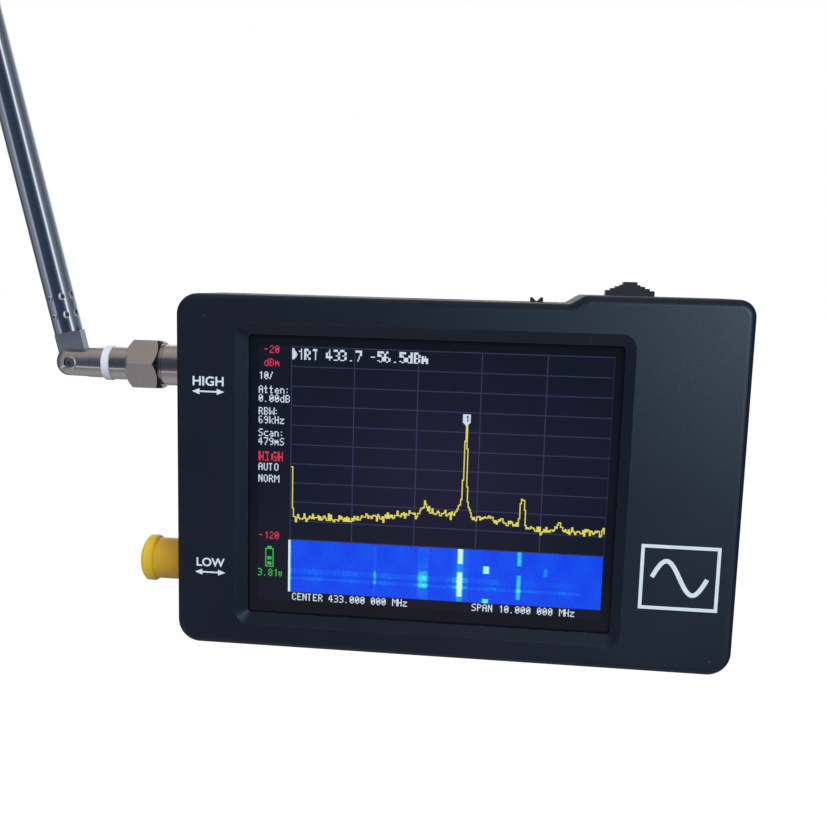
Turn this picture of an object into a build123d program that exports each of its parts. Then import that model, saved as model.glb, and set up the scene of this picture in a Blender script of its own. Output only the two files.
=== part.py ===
from build123d import *
from math import cos, radians, sin
import os

os.makedirs("parts", exist_ok=True)

# ---------------------------------------------------------------------------
# Handheld spectrum analyzer with a telescopic antenna, in millimetres.
# The case stands upright: X runs left to right across the screen, Y runs from
# the screen into the case, Z is up. The origin is the centre of the flat
# bottom face. Suffixes 0 and 1 mark the low and high end of a span.
# ---------------------------------------------------------------------------

# Case
CASE_W = 91.3            # overall width
CASE_D = 17.1            # overall depth
TOP_LOW = 58.7           # height over the plain part of the top edge
TOP_RAISED = 60.1        # height over the raised shoulder that guards the jog lever
RAMP_X0 = 17.4           # foot of the ramp between the two heights
RAMP_X1 = 19.7           # head of the ramp
R_TOP_LEFT = 3.5
R_TOP_RIGHT = 2.7
R_BOTTOM = 3.8
R_RAMP = 1.6
EDGE_FILLET = 1.3        # rounding where the faces meet the sides
WALL = 1.6
FRONT_WALL = 1.5
SPLIT_Y = -2.2           # parting plane between the two shells
TONGUE_H = 1.2           # interlocking lip along the parting line
TONGUE_GAP = 0.1         # clearance round the lip, and past its end
GROOVE = 0.25            # depth of the shadow groove along the parting line
GROOVE_H = 0.15          # width of the groove in each shell
FUSE = 0.2               # overlap of posts and ribs with the wall they stand on
HALF_W = CASE_W / 2
FRONT_Y = -CASE_D / 2
BACK_Y = CASE_D / 2
INNER_FRONT_Y = FRONT_Y + FRONT_WALL
INNER_BACK_Y = BACK_Y - WALL

# Screen window: a sloped bezel that runs in to the glass
BEZEL_X0, BEZEL_X1 = -35.55, 27.9
BEZEL_Z0, BEZEL_Z1 = 3.95, 54.3
WINDOW_X0, WINDOW_X1 = -33.75, 26.35
WINDOW_Z0, WINDOW_Z1 = 5.65, 52.4
BEZEL_DEPTH = 1.2
R_BEZEL = 2.3
R_WINDOW = 0.7

# Display stack: front face of each layer, from the screen inwards
MODULE_X0, MODULE_X1 = -35.4, 33.8
MODULE_Z0, MODULE_Z1 = 4.2, 54.2
TOUCH_X1 = 28.6               # right edge of the touch panel
GASKET_Y = INNER_FRONT_Y
TOUCH_Y = GASKET_Y + 0.3
GLASS_Y = TOUCH_Y + 1.1
LEDGE_Y = GLASS_Y + 0.8       # front of the back glass plate
TRAY_Y = GLASS_Y + 1.6
TAPE_Y = TRAY_Y + 1.9

# Circuit board
BOARD_Y0 = TAPE_Y + 0.25      # front face of the board
BOARD_T = 1.6
BOARD_Y1 = BOARD_Y0 + BOARD_T
BOARD_X = 42.4                # half width
BOARD_Z0, BOARD_Z1 = 2.6, 55.4

# Case screws
SCREW_POINTS = [(-40.5, 5.5), (40.5, 5.5), (-40.5, 53.2), (40.5, 53.2)]
SCREW_R = 1.0
SCREW_LENGTH = 12.0
SCREW_HEAD_R = 1.9
SCREW_HEAD_H = 1.4
SCREW_PASS_R = 1.2            # clearance holes in the board and rear posts
HEAD_SEAT_Y = BACK_Y - 2.2

# Antenna ports on the left wall
PORT_Y = SPLIT_Y
PORT_HIGH_Z = 46.36
PORT_LOW_Z = 12.6
PORT_HOLE_R = 3.45

# Controls and charging port along the top edge
KNOB_X0, KNOB_X1 = 11.4, 13.5
KNOB_TRAVEL = 2.0
KNOB_TOP = 59.5
JOG_X = 27.4
JOG_Z = 57.75                 # centre of the lever's hub
JOG_HUB_R = 2.2
JOG_Y0, JOG_Y1 = 0.0, 2.6
USB_X = -4.0
USB_Y = BOARD_Y1 + 1.6

# Battery
BATT_X0, BATT_X1 = -12.0, 28.0
BATT_Z0, BATT_Z1 = 12.0, 42.0
BATT_Y0, BATT_Y1 = 1.65, 6.65


# ---------------------------------------------------------------------------
# Shared helpers
# ---------------------------------------------------------------------------
def facing(y, z=0):
    """Plane at depth y that looks out of the screen side: local axes are X and Z."""
    return Plane(origin=(0, y, z), x_dir=(1, 0, 0), z_dir=(0, -1, 0))


def across(x, y, z):
    """Plane that looks to the right: local axes are Y and Z."""
    return Plane(origin=(x, y, z), x_dir=(0, 1, 0), z_dir=(1, 0, 0))


def turned(points, plane, axis, mode=Mode.ADD):
    """Turn a closed outline, drawn on a plane that holds the axis."""
    with BuildSketch(plane) as profile:
        with BuildLine():
            Polyline(*points, close=True)
        make_face()
    revolve(profile.sketch, axis=axis, mode=mode)


def port_axis(z):
    return Axis((0, PORT_Y, z), (1, 0, 0))


def turned_on_port(points, z, mode=Mode.ADD):
    """Turn an outline of (x, radius) points about the port axis at height z."""
    turned(points, facing(PORT_Y, z), port_axis(z), mode)


def prism(outline, y0, y1, mode=Mode.ADD):
    """Extrude a ready-made outline between two depths."""
    with BuildSketch(facing(y1)) as profile:
        add(outline)
    extrude(profile.sketch, amount=y1 - y0, mode=mode)


def slab(x0, x1, y0, y1, z0, z1, mode=Mode.ADD, corner=0.0):
    """Flat-faced block between two depths, with its XZ corners rounded."""
    with BuildSketch(facing(y1)) as outline:
        with Locations(((x0 + x1) / 2, (z0 + z1) / 2)):
            if corner:
                RectangleRounded(x1 - x0, z1 - z0, corner)
            else:
                Rectangle(x1 - x0, z1 - z0)
    extrude(outline.sketch, amount=y1 - y0, mode=mode)


def post(x, z, radius, y0, y1, mode=Mode.ADD):
    """Round post or hole along Y between two depths."""
    with BuildSketch(facing(y1)) as outline:
        with Locations((x, z)):
            Circle(radius)
    extrude(outline.sketch, amount=y1 - y0, mode=mode)


def upright_block(x, y, width, depth, corner, z0, height, mode=Mode.ADD):
    """Block centred on (x, y) that rises from z0, with rounded upright corners."""
    with BuildSketch(Plane.XY.offset(z0)) as outline:
        with Locations((x, y)):
            RectangleRounded(width, depth, corner)
    extrude(outline.sketch, amount=height, mode=mode)


def usb_slot(width, depth, z0, height, mode=Mode.ADD):
    """Round-ended block on the charging port's centre that rises from z0."""
    with BuildSketch(Plane.XY.offset(z0)) as outline:
        with Locations((USB_X, USB_Y)):
            SlotOverall(width, depth)
    extrude(outline.sketch, amount=height, mode=mode)


def save(name, piece):
    """Label a finished piece and write its file."""
    piece.part.label = name
    export_step(piece.part, f"parts/{name}.step")


# ---------------------------------------------------------------------------
# Outlines of the case in X and Z
# ---------------------------------------------------------------------------
with BuildSketch() as case_outline:
    with BuildLine():
        Polyline(
            (-HALF_W, 0), (HALF_W, 0), (HALF_W, TOP_RAISED), (RAMP_X1, TOP_RAISED),
            (RAMP_X0, TOP_LOW), (-HALF_W, TOP_LOW), close=True,
        )
    make_face()
    fillet(vertices().group_by(Axis.Y)[0], R_BOTTOM)
    for corner_point, corner_radius in (
        ((-HALF_W, TOP_LOW), R_TOP_LEFT),
        ((HALF_W, TOP_RAISED), R_TOP_RIGHT),
        ((RAMP_X1, TOP_RAISED), R_RAMP),
        ((RAMP_X0, TOP_LOW), R_RAMP),
    ):
        fillet(vertices().sort_by_distance(corner_point)[0], corner_radius)


def inset_outline(distance):
    """Outline of the case, moved inwards."""
    with BuildSketch() as inset:
        add(case_outline.sketch)
        offset(amount=-distance)
    return inset.sketch


cavity_outline = inset_outline(WALL)
rebate_outline = inset_outline(WALL / 2 - TONGUE_GAP / 2)

with BuildSketch() as tongue_ring:
    add(inset_outline(WALL / 2 + TONGUE_GAP / 2))
    add(cavity_outline, mode=Mode.SUBTRACT)

with BuildSketch() as groove_ring:
    add(case_outline.sketch)
    offset(case_outline.sketch, amount=-GROOVE, mode=Mode.SUBTRACT)


# ---------------------------------------------------------------------------
# Case
# ---------------------------------------------------------------------------
def cut_wall_openings():
    """Openings that pass through the walls, cut alike from both shells."""
    for port_z in (PORT_HIGH_Z, PORT_LOW_Z):
        with BuildSketch(across(-HALF_W - 1, PORT_Y, port_z)) as port:
            Circle(PORT_HOLE_R)
        extrude(port.sketch, amount=WALL + 2, mode=Mode.SUBTRACT)
    low_start = TOP_LOW - WALL - 2
    raised_start = TOP_RAISED - WALL - 2
    cut_height = WALL + 4
    # Jog lever slot
    upright_block(JOG_X, (JOG_Y0 + JOG_Y1) / 2 - 0.05, 9.6, 3.3, 0.5,
                  raised_start, cut_height, Mode.SUBTRACT)
    # Power switch slot, long enough for the knob's travel
    upright_block((KNOB_X0 + KNOB_X1 - KNOB_TRAVEL) / 2, 1.5,
                  KNOB_X1 - KNOB_X0 + KNOB_TRAVEL + 0.5, 2.2, 0.3,
                  low_start, cut_height, Mode.SUBTRACT)
    # Charging port opening
    usb_slot(9.5, 3.8, low_start, cut_height, Mode.SUBTRACT)


with BuildPart() as front_shell:
    prism(case_outline.sketch, FRONT_Y, SPLIT_Y)
    fillet(faces().sort_by(Axis.Y)[0].edges(), EDGE_FILLET)
    # hollow
    prism(cavity_outline, INNER_FRONT_Y, SPLIT_Y, Mode.SUBTRACT)
    # tongue that enters the rear shell
    prism(tongue_ring.sketch, SPLIT_Y, SPLIT_Y + TONGUE_H)
    # shadow groove
    prism(groove_ring.sketch, SPLIT_Y - GROOVE_H, SPLIT_Y, Mode.SUBTRACT)
    # sloped bezel, then the window itself
    with BuildSketch(facing(FRONT_Y)):
        with Locations(((BEZEL_X0 + BEZEL_X1) / 2, (BEZEL_Z0 + BEZEL_Z1) / 2)):
            RectangleRounded(BEZEL_X1 - BEZEL_X0, BEZEL_Z1 - BEZEL_Z0, R_BEZEL)
    with BuildSketch(facing(FRONT_Y + BEZEL_DEPTH)):
        with Locations(((WINDOW_X0 + WINDOW_X1) / 2, (WINDOW_Z0 + WINDOW_Z1) / 2)):
            RectangleRounded(WINDOW_X1 - WINDOW_X0, WINDOW_Z1 - WINDOW_Z0, R_WINDOW)
    loft(mode=Mode.SUBTRACT)
    slab(WINDOW_X0, WINDOW_X1, FRONT_Y + 0.5, INNER_FRONT_Y + 0.5, WINDOW_Z0, WINDOW_Z1,
         Mode.SUBTRACT, R_WINDOW)
    # screw posts
    for x, z in SCREW_POINTS:
        post(x, z, 2.5, INNER_FRONT_Y - FUSE, BOARD_Y0)
        post(x, z, SCREW_R + 0.03, INNER_FRONT_Y + 0.6, BOARD_Y0, Mode.SUBTRACT)
    cut_wall_openings()
save("front_shell", front_shell)

RIB_Y0 = 4.6             # front edge of the battery ribs
RIB_GAP = 0.4            # from the cell to a rib
RIB_FAR = RIB_GAP + 1.0  # from the cell to the far side of a rib
with BuildPart() as rear_shell:
    prism(case_outline.sketch, SPLIT_Y, BACK_Y)
    fillet(faces().sort_by(Axis.Y)[-1].edges(), EDGE_FILLET)
    prism(cavity_outline, SPLIT_Y, INNER_BACK_Y, Mode.SUBTRACT)
    # rebate that takes the tongue
    prism(rebate_outline, SPLIT_Y, SPLIT_Y + TONGUE_H + TONGUE_GAP, Mode.SUBTRACT)
    prism(groove_ring.sketch, SPLIT_Y, SPLIT_Y + GROOVE_H, Mode.SUBTRACT)
    # screw posts with sunk heads
    for x, z in SCREW_POINTS:
        post(x, z, 2.75, BOARD_Y1, INNER_BACK_Y + FUSE)
        post(x, z, SCREW_PASS_R, BOARD_Y1 - 1, BACK_Y + 1, Mode.SUBTRACT)
        post(x, z, SCREW_HEAD_R + 0.25, HEAD_SEAT_Y, BACK_Y + 1, Mode.SUBTRACT)
    # ribs that keep the cell from sliding: left of it, below it and above it
    for x0, x1, z0, z1 in (
        (BATT_X0 - RIB_FAR, BATT_X0 - RIB_GAP, BATT_Z0 + 4, BATT_Z1 - 4),
        (BATT_X0 + 4, BATT_X1 - 4, BATT_Z0 - RIB_FAR, BATT_Z0 - RIB_GAP),
        (BATT_X0 + 4, BATT_X1 - 4, BATT_Z1 + RIB_GAP, BATT_Z1 + RIB_FAR),
    ):
        slab(x0, x1, RIB_Y0, INNER_BACK_Y + FUSE, z0, z1)
    cut_wall_openings()
save("rear_shell", rear_shell)

CROSS_REACH = 1.05       # half length of each arm of the driver recess
CROSS_HALF = 0.22        # half width of each arm
with BuildPart() as case_screws:
    for x, z in SCREW_POINTS:
        post(x, z, SCREW_R, HEAD_SEAT_Y - SCREW_LENGTH, HEAD_SEAT_Y)
        post(x, z, SCREW_HEAD_R, HEAD_SEAT_Y, HEAD_SEAT_Y + SCREW_HEAD_H)
        for half_x, half_z in ((CROSS_REACH, CROSS_HALF), (CROSS_HALF, CROSS_REACH)):
            slab(x - half_x, x + half_x, HEAD_SEAT_Y + 0.6, HEAD_SEAT_Y + SCREW_HEAD_H + 0.1,
                 z - half_z, z + half_z, Mode.SUBTRACT)
    fillet(case_screws.edges().filter_by(GeomType.CIRCLE).group_by(Axis.Y)[-1], 0.4)
save("case_screws", case_screws)

# ---------------------------------------------------------------------------
# Display stack
# ---------------------------------------------------------------------------
with BuildPart() as window_gasket:
    slab(WINDOW_X0 - 1.5, WINDOW_X1 + 1.5, GASKET_Y, TOUCH_Y,
         WINDOW_Z0 - 1.35, WINDOW_Z1 + 1.35, corner=1.0)
    slab(WINDOW_X0 - 0.6, WINDOW_X1 + 0.6, GASKET_Y - 1, TOUCH_Y + 1,
         WINDOW_Z0 - 0.6, WINDOW_Z1 + 0.6, Mode.SUBTRACT, 0.8)
save("window_gasket", window_gasket)

with BuildPart() as touch_panel:
    slab(MODULE_X0, TOUCH_X1, TOUCH_Y, GLASS_Y, MODULE_Z0, MODULE_Z1, corner=0.4)
save("touch_panel", touch_panel)

GLASS_INSET = 0.4
with BuildPart() as lcd_glass:
    # front and back plates, the back one standing out to the right as the contact ledge
    for x1, y0, y1 in (
        (TOUCH_X1 - GLASS_INSET, GLASS_Y, LEDGE_Y),
        (33.2, LEDGE_Y, TRAY_Y),
    ):
        slab(MODULE_X0 + GLASS_INSET, x1, y0, y1,
             MODULE_Z0 + GLASS_INSET, MODULE_Z1 - GLASS_INSET)
save("lcd_glass", lcd_glass)

TRAY_RIM = 1.2
TRAY_RECESS = 1.3        # depth of the tray's recess
RECESS_X1 = 28.0
with BuildPart() as backlight_tray:
    slab(MODULE_X0, MODULE_X1, TRAY_Y, TAPE_Y, MODULE_Z0, MODULE_Z1, corner=0.5)
    # shallow recess that holds the light guide and film stack
    slab(MODULE_X0 + TRAY_RIM, RECESS_X1, TRAY_Y - 1, TRAY_Y + TRAY_RECESS,
         MODULE_Z0 + TRAY_RIM, MODULE_Z1 - TRAY_RIM, Mode.SUBTRACT)
save("backlight_tray", backlight_tray)

GUIDE_INSET = TRAY_RIM + 0.1
with BuildPart() as light_guide:
    slab(MODULE_X0 + GUIDE_INSET, RECESS_X1 - 0.1, TRAY_Y + 0.02, TRAY_Y + TRAY_RECESS - 0.02,
         MODULE_Z0 + GUIDE_INSET, MODULE_Z1 - GUIDE_INSET)
save("light_guide", light_guide)

TAPE_W = 6.0
with BuildPart() as display_tape:
    for x0 in (MODULE_X0 + 2, MODULE_X1 - 10):
        slab(x0, x0 + TAPE_W, TAPE_Y, BOARD_Y0, 8, 50)
save("display_tape", display_tape)

# Flat ribbon from the glass ledge back to the board, drawn in X and Y
RIBBON_T = 0.12
RIBBON_GLASS_Y = LEDGE_Y - 0.01     # back face of the ribbon at the ledge
RIBBON_BOARD_Y = BOARD_Y0 - 0.01    # back face of the ribbon at the board
with BuildPart() as lcd_ribbon:
    with BuildSketch(Plane.XY.offset(15.0)):
        with BuildLine():
            Polyline(
                (30.0, RIBBON_GLASS_Y), (34.6, RIBBON_GLASS_Y),
                (37.2, RIBBON_BOARD_Y), (40.4, RIBBON_BOARD_Y),
                (40.4, RIBBON_BOARD_Y - RIBBON_T), (37.3, RIBBON_BOARD_Y - RIBBON_T),
                (34.7, RIBBON_GLASS_Y - RIBBON_T), (30.0, RIBBON_GLASS_Y - RIBBON_T),
                close=True,
            )
        make_face()
    extrude(amount=28.0)
save("lcd_ribbon", lcd_ribbon)

# ---------------------------------------------------------------------------
# Circuit board and what is soldered to its back face
# ---------------------------------------------------------------------------
with BuildPart() as main_board:
    slab(-BOARD_X, BOARD_X, BOARD_Y0, BOARD_Y1, BOARD_Z0, BOARD_Z1, corner=2.5)
    for x, z in SCREW_POINTS:
        post(x, z, SCREW_PASS_R, BOARD_Y0 - 1, BOARD_Y1 + 1, Mode.SUBTRACT)
save("main_board", main_board)


def on_board(x0, x1, z0, z1, height, corner=0.0):
    """Block that stands on the back face of the board."""
    slab(x0, x1, BOARD_Y1, BOARD_Y1 + height, z0, z1, corner=corner)


def square_chip(x, z, size, height):
    """Square block centred on (x, z) on the board."""
    on_board(x - size / 2, x + size / 2, z - size / 2, z + size / 2, height)


CANS = [(-36.0, -14.0, 31.0, 52.0), (-36.0, -14.0, 6.5, 27.5)]    # x0, x1, z0, z1
CAN_H = 2.0
CAN_WALL = 0.2
VENT_PITCH = 4
VENT_R = 0.5
with BuildPart() as rf_shield_cans:
    for x0, x1, z0, z1 in CANS:
        on_board(x0, x1, z0, z1, CAN_H, corner=0.6)
    for x0, x1, z0, z1 in CANS:
        slab(x0 + CAN_WALL, x1 - CAN_WALL, BOARD_Y1 - 1, BOARD_Y1 + CAN_H - CAN_WALL,
             z0 + CAN_WALL, z1 - CAN_WALL, Mode.SUBTRACT, 0.4)
        # vent holes in the lid
        for column in range(5):
            for row in range(5):
                post(x0 + 3 + VENT_PITCH * column, z0 + 2.5 + VENT_PITCH * row, VENT_R,
                     BOARD_Y1 + 1, BOARD_Y1 + CAN_H + 1, Mode.SUBTRACT)
save("rf_shield_cans", rf_shield_cans)

with BuildPart() as rf_transceivers:
    for z in (42.0, 16.0):
        square_chip(-22.0, z, size=4.0, height=0.85)
save("rf_transceivers", rf_transceivers)

with BuildPart() as rf_filters:
    for z in (46.0, 38.0, 20.0):
        square_chip(-31.0, z, size=3.8, height=1.1)
save("rf_filters", rf_filters)

with BuildPart() as mixer_chip:
    square_chip(-31.0, 12.5, size=3.0, height=1.0)
save("mixer_chip", mixer_chip)

MCU_X, MCU_Z = 4.0, 27.0
MCU_HALF = 3.5
with BuildPart() as mcu_body:
    slab(MCU_X - MCU_HALF, MCU_X + MCU_HALF, BOARD_Y1 + 0.1, BOARD_Y1 + 1.5,
         MCU_Z - MCU_HALF, MCU_Z + MCU_HALF)
    chamfer(edges().group_by(Axis.Y)[-1], 0.15)
save("mcu_body", mcu_body)

LEADS_PER_SIDE = 12
LEAD_PITCH = 0.5
LEAD_HALF = 0.11                # half width of a lead
LEAD_T = 0.16
LEAD_ROOT = MCU_HALF + 0.02     # from the chip's centre to the near end of a lead
LEAD_TIP = MCU_HALF + 1.0       # from the chip's centre to the far end
with BuildPart() as mcu_leads:
    for i in range(LEADS_PER_SIDE):
        along = LEAD_PITCH * (i - (LEADS_PER_SIDE - 1) / 2)
        near, far = along - LEAD_HALF, along + LEAD_HALF
        for x0, x1, z0, z1 in (
            (near, far, LEAD_ROOT, LEAD_TIP),
            (near, far, -LEAD_TIP, -LEAD_ROOT),
            (LEAD_ROOT, LEAD_TIP, near, far),
            (-LEAD_TIP, -LEAD_ROOT, near, far),
        ):
            on_board(MCU_X + x0, MCU_X + x1, MCU_Z + z0, MCU_Z + z1, LEAD_T)
save("mcu_leads", mcu_leads)

with BuildPart() as reference_crystals:
    for x0, z0 in ((-18.6, 46.0), (-4.0, 33.0)):
        on_board(x0, x0 + 3.2, z0, z0 + 2.5, 0.8, corner=0.3)
save("reference_crystals", reference_crystals)

CHIP_CAP_L, CHIP_CAP_W, CHIP_CAP_H = 1.6, 0.8, 0.75
with BuildPart() as chip_capacitors:
    # a row below the main chip and a column to its right
    for i in range(6):
        x0, z0 = -9.5 + 2.6 * i, 20.0 + 2.6 * i
        on_board(x0, x0 + CHIP_CAP_L, 20.0, 20.0 + CHIP_CAP_W, CHIP_CAP_H)
        on_board(12.0, 12.0 + CHIP_CAP_W, z0, z0 + CHIP_CAP_L, CHIP_CAP_H)
    # one row under each shield can
    for i in range(5):
        x0 = -33.6 + 3.4 * i
        for z0 in (33.0, 24.5):
            on_board(x0, x0 + CHIP_CAP_L, z0, z0 + CHIP_CAP_W, CHIP_CAP_H)
save("chip_capacitors", chip_capacitors)

with BuildPart() as status_leds:
    for x0 in (2.6, 5.0):
        on_board(x0, x0 + 1.6, 53.6, 54.4, 0.6)
save("status_leds", status_leds)

# Charging and data port: drawn steel shell round a moulded insert
USB_W, USB_D = 8.94, 3.2
USB_WALL = 0.3
USB_GAP = 0.03           # between shell and insert
USB_Z0, USB_H = 50.9, 7.3
with BuildPart() as usb_c_shell:
    usb_slot(USB_W, USB_D, USB_Z0, USB_H)
    usb_slot(USB_W - 2 * USB_WALL, USB_D - 2 * USB_WALL, USB_Z0, USB_H, Mode.SUBTRACT)
save("usb_c_shell", usb_c_shell)

with BuildPart() as usb_c_insert:
    usb_slot(USB_W - 2 * (USB_WALL + USB_GAP), USB_D - 2 * (USB_WALL + USB_GAP), 51.0, 2.2)
    upright_block(USB_X, USB_Y, 6.7, 0.7, 0.2, 53.0, 4.5)
save("usb_c_insert", usb_c_insert)

# ---------------------------------------------------------------------------
# Battery, with its plug and socket on the board
# ---------------------------------------------------------------------------
with BuildPart() as battery_cell:
    slab(BATT_X0, BATT_X1 - 1.2, BATT_Y0, BATT_Y1, BATT_Z0, BATT_Z1, corner=1.0)
    fillet(edges().filter_by(Axis.Z).group_by(Axis.X)[0], 1.4)
    # folded seam of the pouch at the terminal end
    slab(BATT_X1 - 1.6, BATT_X1, BATT_Y0 + 1.6, BATT_Y1 - 1.6, BATT_Z0 + 1.5, BATT_Z1 - 1.5)
save("battery_cell", battery_cell)

with BuildPart() as battery_pad:
    slab(BATT_X0 + 3, BATT_X1 - 5, BATT_Y1, INNER_BACK_Y, BATT_Z0 + 3, BATT_Z1 - 3)
save("battery_pad", battery_pad)

SOCKET_Y1 = 4.6
SOCKET_WALL = 0.7
SOCKET_Z0, SOCKET_Z1 = 20.6, 29.4
PLUG_GAP = 0.08          # between plug and socket, front and back
with BuildPart() as battery_socket:
    slab(31.6, 38.0, BOARD_Y1, SOCKET_Y1, SOCKET_Z0, SOCKET_Z1)
    slab(31.0, 37.0, BOARD_Y1 + SOCKET_WALL, SOCKET_Y1 - SOCKET_WALL,
         SOCKET_Z0 + SOCKET_WALL, SOCKET_Z1 - SOCKET_WALL, Mode.SUBTRACT)
save("battery_socket", battery_socket)

WIRE_ZS = (23.8, 26.2)
WIRE_Y = 2.2             # depth of the wires inside the plug
WIRE_R = 0.6
with BuildPart() as battery_plug:
    slab(31.0, 36.6, BOARD_Y1 + SOCKET_WALL + PLUG_GAP, SOCKET_Y1 - SOCKET_WALL - PLUG_GAP,
         21.4, 28.6, corner=0.3)
    for z in WIRE_ZS:
        with BuildSketch(across(30.9, WIRE_Y, z)):
            Circle(WIRE_R + 0.08)
        extrude(amount=2.1, mode=Mode.SUBTRACT)
save("battery_plug", battery_plug)

WIRE_X0 = BATT_X1 + 0.05
WIRE_START_Y = (BATT_Y0 + BATT_Y1) / 2
with BuildPart() as battery_leads:
    for z in WIRE_ZS:
        with BuildLine() as lead_path:
            Spline((WIRE_X0, WIRE_START_Y, z), (29.5, 3.3, z), (30.95, WIRE_Y, z),
                   (32.9, WIRE_Y, z), tangents=[(1, 0, 0), (1, 0, 0)])
        with BuildSketch(across(WIRE_X0, WIRE_START_Y, z)):
            Circle(WIRE_R)
        sweep(path=lead_path.line)
save("battery_leads", battery_leads)

# ---------------------------------------------------------------------------
# Power switch
# ---------------------------------------------------------------------------
KNOB_MID = (KNOB_X0 + KNOB_X1) / 2
SLIDER_HALF = 2.0        # half width of the slider inside the housing
STEM_HALF = 1.0          # half width of the stem that leaves it
SLIDE_GAP = 0.15         # side clearance of both
with BuildPart() as power_switch_housing:
    slab(7.1, 16.1, BOARD_Y1, 3.3, 52.9, 56.6)
    slab(KNOB_MID - SLIDER_HALF - SLIDE_GAP - KNOB_TRAVEL, KNOB_MID + SLIDER_HALF + SLIDE_GAP,
         0.4, 2.6, 54.0, 56.0, Mode.SUBTRACT)
    slab(KNOB_MID - STEM_HALF - SLIDE_GAP - KNOB_TRAVEL, KNOB_MID + STEM_HALF + SLIDE_GAP,
         0.8, 2.2, 55.5, 57.0, Mode.SUBTRACT)
save("power_switch_housing", power_switch_housing)

KNOB_EASE = 0.1          # corner ease at the top of the knob
NOTCH_Z = KNOB_TOP - 0.62
with BuildPart() as power_switch_knob:
    slab(KNOB_MID - SLIDER_HALF, KNOB_MID + SLIDER_HALF, 0.5, 2.5, 54.1, 55.9)
    slab(KNOB_MID - STEM_HALF, KNOB_MID + STEM_HALF, 0.9, 2.1, 55.5, 57.5)
    # knob with a tapered notch across its top
    with BuildSketch(facing(2.4)):
        with BuildLine():
            Polyline(
                (KNOB_X0, 56.9), (KNOB_X1, 56.9),
                (KNOB_X1, KNOB_TOP - KNOB_EASE), (KNOB_X1 - KNOB_EASE, KNOB_TOP),
                (KNOB_MID + 0.7, KNOB_TOP), (KNOB_MID + 0.12, NOTCH_Z),
                (KNOB_MID - 0.12, NOTCH_Z), (KNOB_MID - 0.7, KNOB_TOP),
                (KNOB_X0 + KNOB_EASE, KNOB_TOP), (KNOB_X0, KNOB_TOP - KNOB_EASE),
                close=True,
            )
        make_face()
    extrude(amount=1.8)
save("power_switch_knob", power_switch_knob)

# ---------------------------------------------------------------------------
# Jog lever
# ---------------------------------------------------------------------------
with BuildPart() as jog_housing:
    slab(22.4, 32.4, BOARD_Y1, 3.9, 48.5, 52.5)
    chamfer(edges().filter_by(Axis.Z).group_by(Axis.Y)[-1], 0.4)
    slab(25.3, 29.5, 2.6, 3.4, 49.8, 53.0, Mode.SUBTRACT)
save("jog_housing", jog_housing)

JOG_PIN_R = 0.8
with BuildPart() as jog_carrier:
    slab(JOG_X - 1.9, JOG_X + 1.9, 2.7, 3.3, 50.5, 58.35, corner=0.6)
    post(JOG_X, JOG_Z, JOG_PIN_R + 0.02, 2.0, 4.0, Mode.SUBTRACT)
save("jog_carrier", jog_carrier)

with BuildPart() as jog_pin:
    post(JOG_X, JOG_Z, JOG_PIN_R, -0.1, 3.3)
    post(JOG_X, JOG_Z, 1.1, -0.3, -0.05)
save("jog_pin", jog_pin)

# Serrated lever: a flat pad between two stepped shoulders, on a round hub
JOG_BASE_Z = 59.4
# Grip of the lever, stepped up to a pad: half width and top of each step
JOG_STEPS = [(3.88, 61.0), (3.10, 61.34), (2.33, 61.66), (1.60, 61.91), (1.08, 62.38)]
JOG_EASE = 0.09          # corner ease on each step
JOG_NECK = [(-1.9, 57.2), (1.9, 57.2)]


def jog_right_side():
    """Right side of the grip, from its base up: (distance from the middle, z)."""
    points = []
    step_floor = JOG_BASE_Z
    for half, top in JOG_STEPS:
        points += [(half, step_floor), (half, top - JOG_EASE), (half - JOG_EASE, top)]
        step_floor = top
    return points


right_side = jog_right_side()
left_side = [(-x, z) for x, z in reversed(right_side)]
with BuildPart() as jog_lever:
    with BuildSketch(facing(JOG_Y1)):
        with Locations((JOG_X, 0)):
            Polygon(*right_side, *left_side, *JOG_NECK, align=None)
        with Locations((JOG_X, JOG_Z)):
            Circle(JOG_HUB_R)
    extrude(amount=JOG_Y1 - JOG_Y0)
    post(JOG_X, JOG_Z, JOG_PIN_R + 0.05, JOG_Y0 - 1, JOG_Y1 + 1, Mode.SUBTRACT)
save("jog_lever", jog_lever)

# ---------------------------------------------------------------------------
# Antenna ports: edge-mounted threaded jacks, one high and one low.
# Turned outlines here and in the next section are (x, radius) points.
# ---------------------------------------------------------------------------
THREAD_R = 3.175             # 1/4-36 thread, major radius
THREAD_PITCH = 0.7056
THREAD_DEPTH = 0.34
THREAD_END_X = -45.9         # the thread stops short of this
JACK_X0 = -50.55             # outer face of the jack
FLANGE_X0, FLANGE_X1 = -44.0, -42.45
FLANGE_HALF = 3.2
BARREL_X1 = FLANGE_X1 - 0.4
LEG_X1 = -38.6               # inner end of the legs that grip the board
LEG_T = 0.9
LEG_HALF = 0.5
LEG_OFFSET = 2.6             # from the port axis to a leg's centre, up and down

# Coaxial sizes shared by the jacks and the plug
SLEEVE_BORE_R = 2.07
INSULATOR_R = 2.05
INSULATOR_BORE_R = 0.66
CONTACT_R = 0.635


def jack_outline():
    """Section of the threaded barrel, with the thread as ring grooves."""
    points = [(BARREL_X1, SLEEVE_BORE_R), (JACK_X0, SLEEVE_BORE_R),
              (JACK_X0, THREAD_R - 0.45), (JACK_X0 + 0.25, THREAD_R - 0.2)]
    x = JACK_X0 + 0.35
    while x + THREAD_PITCH < THREAD_END_X:
        points += [(x, THREAD_R), (x + 0.12, THREAD_R),
                   (x + THREAD_PITCH / 2 + 0.06, THREAD_R - THREAD_DEPTH)]
        x += THREAD_PITCH
    return points + [(x, THREAD_R), (FLANGE_X0, THREAD_R), (BARREL_X1, THREAD_R)]


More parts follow.
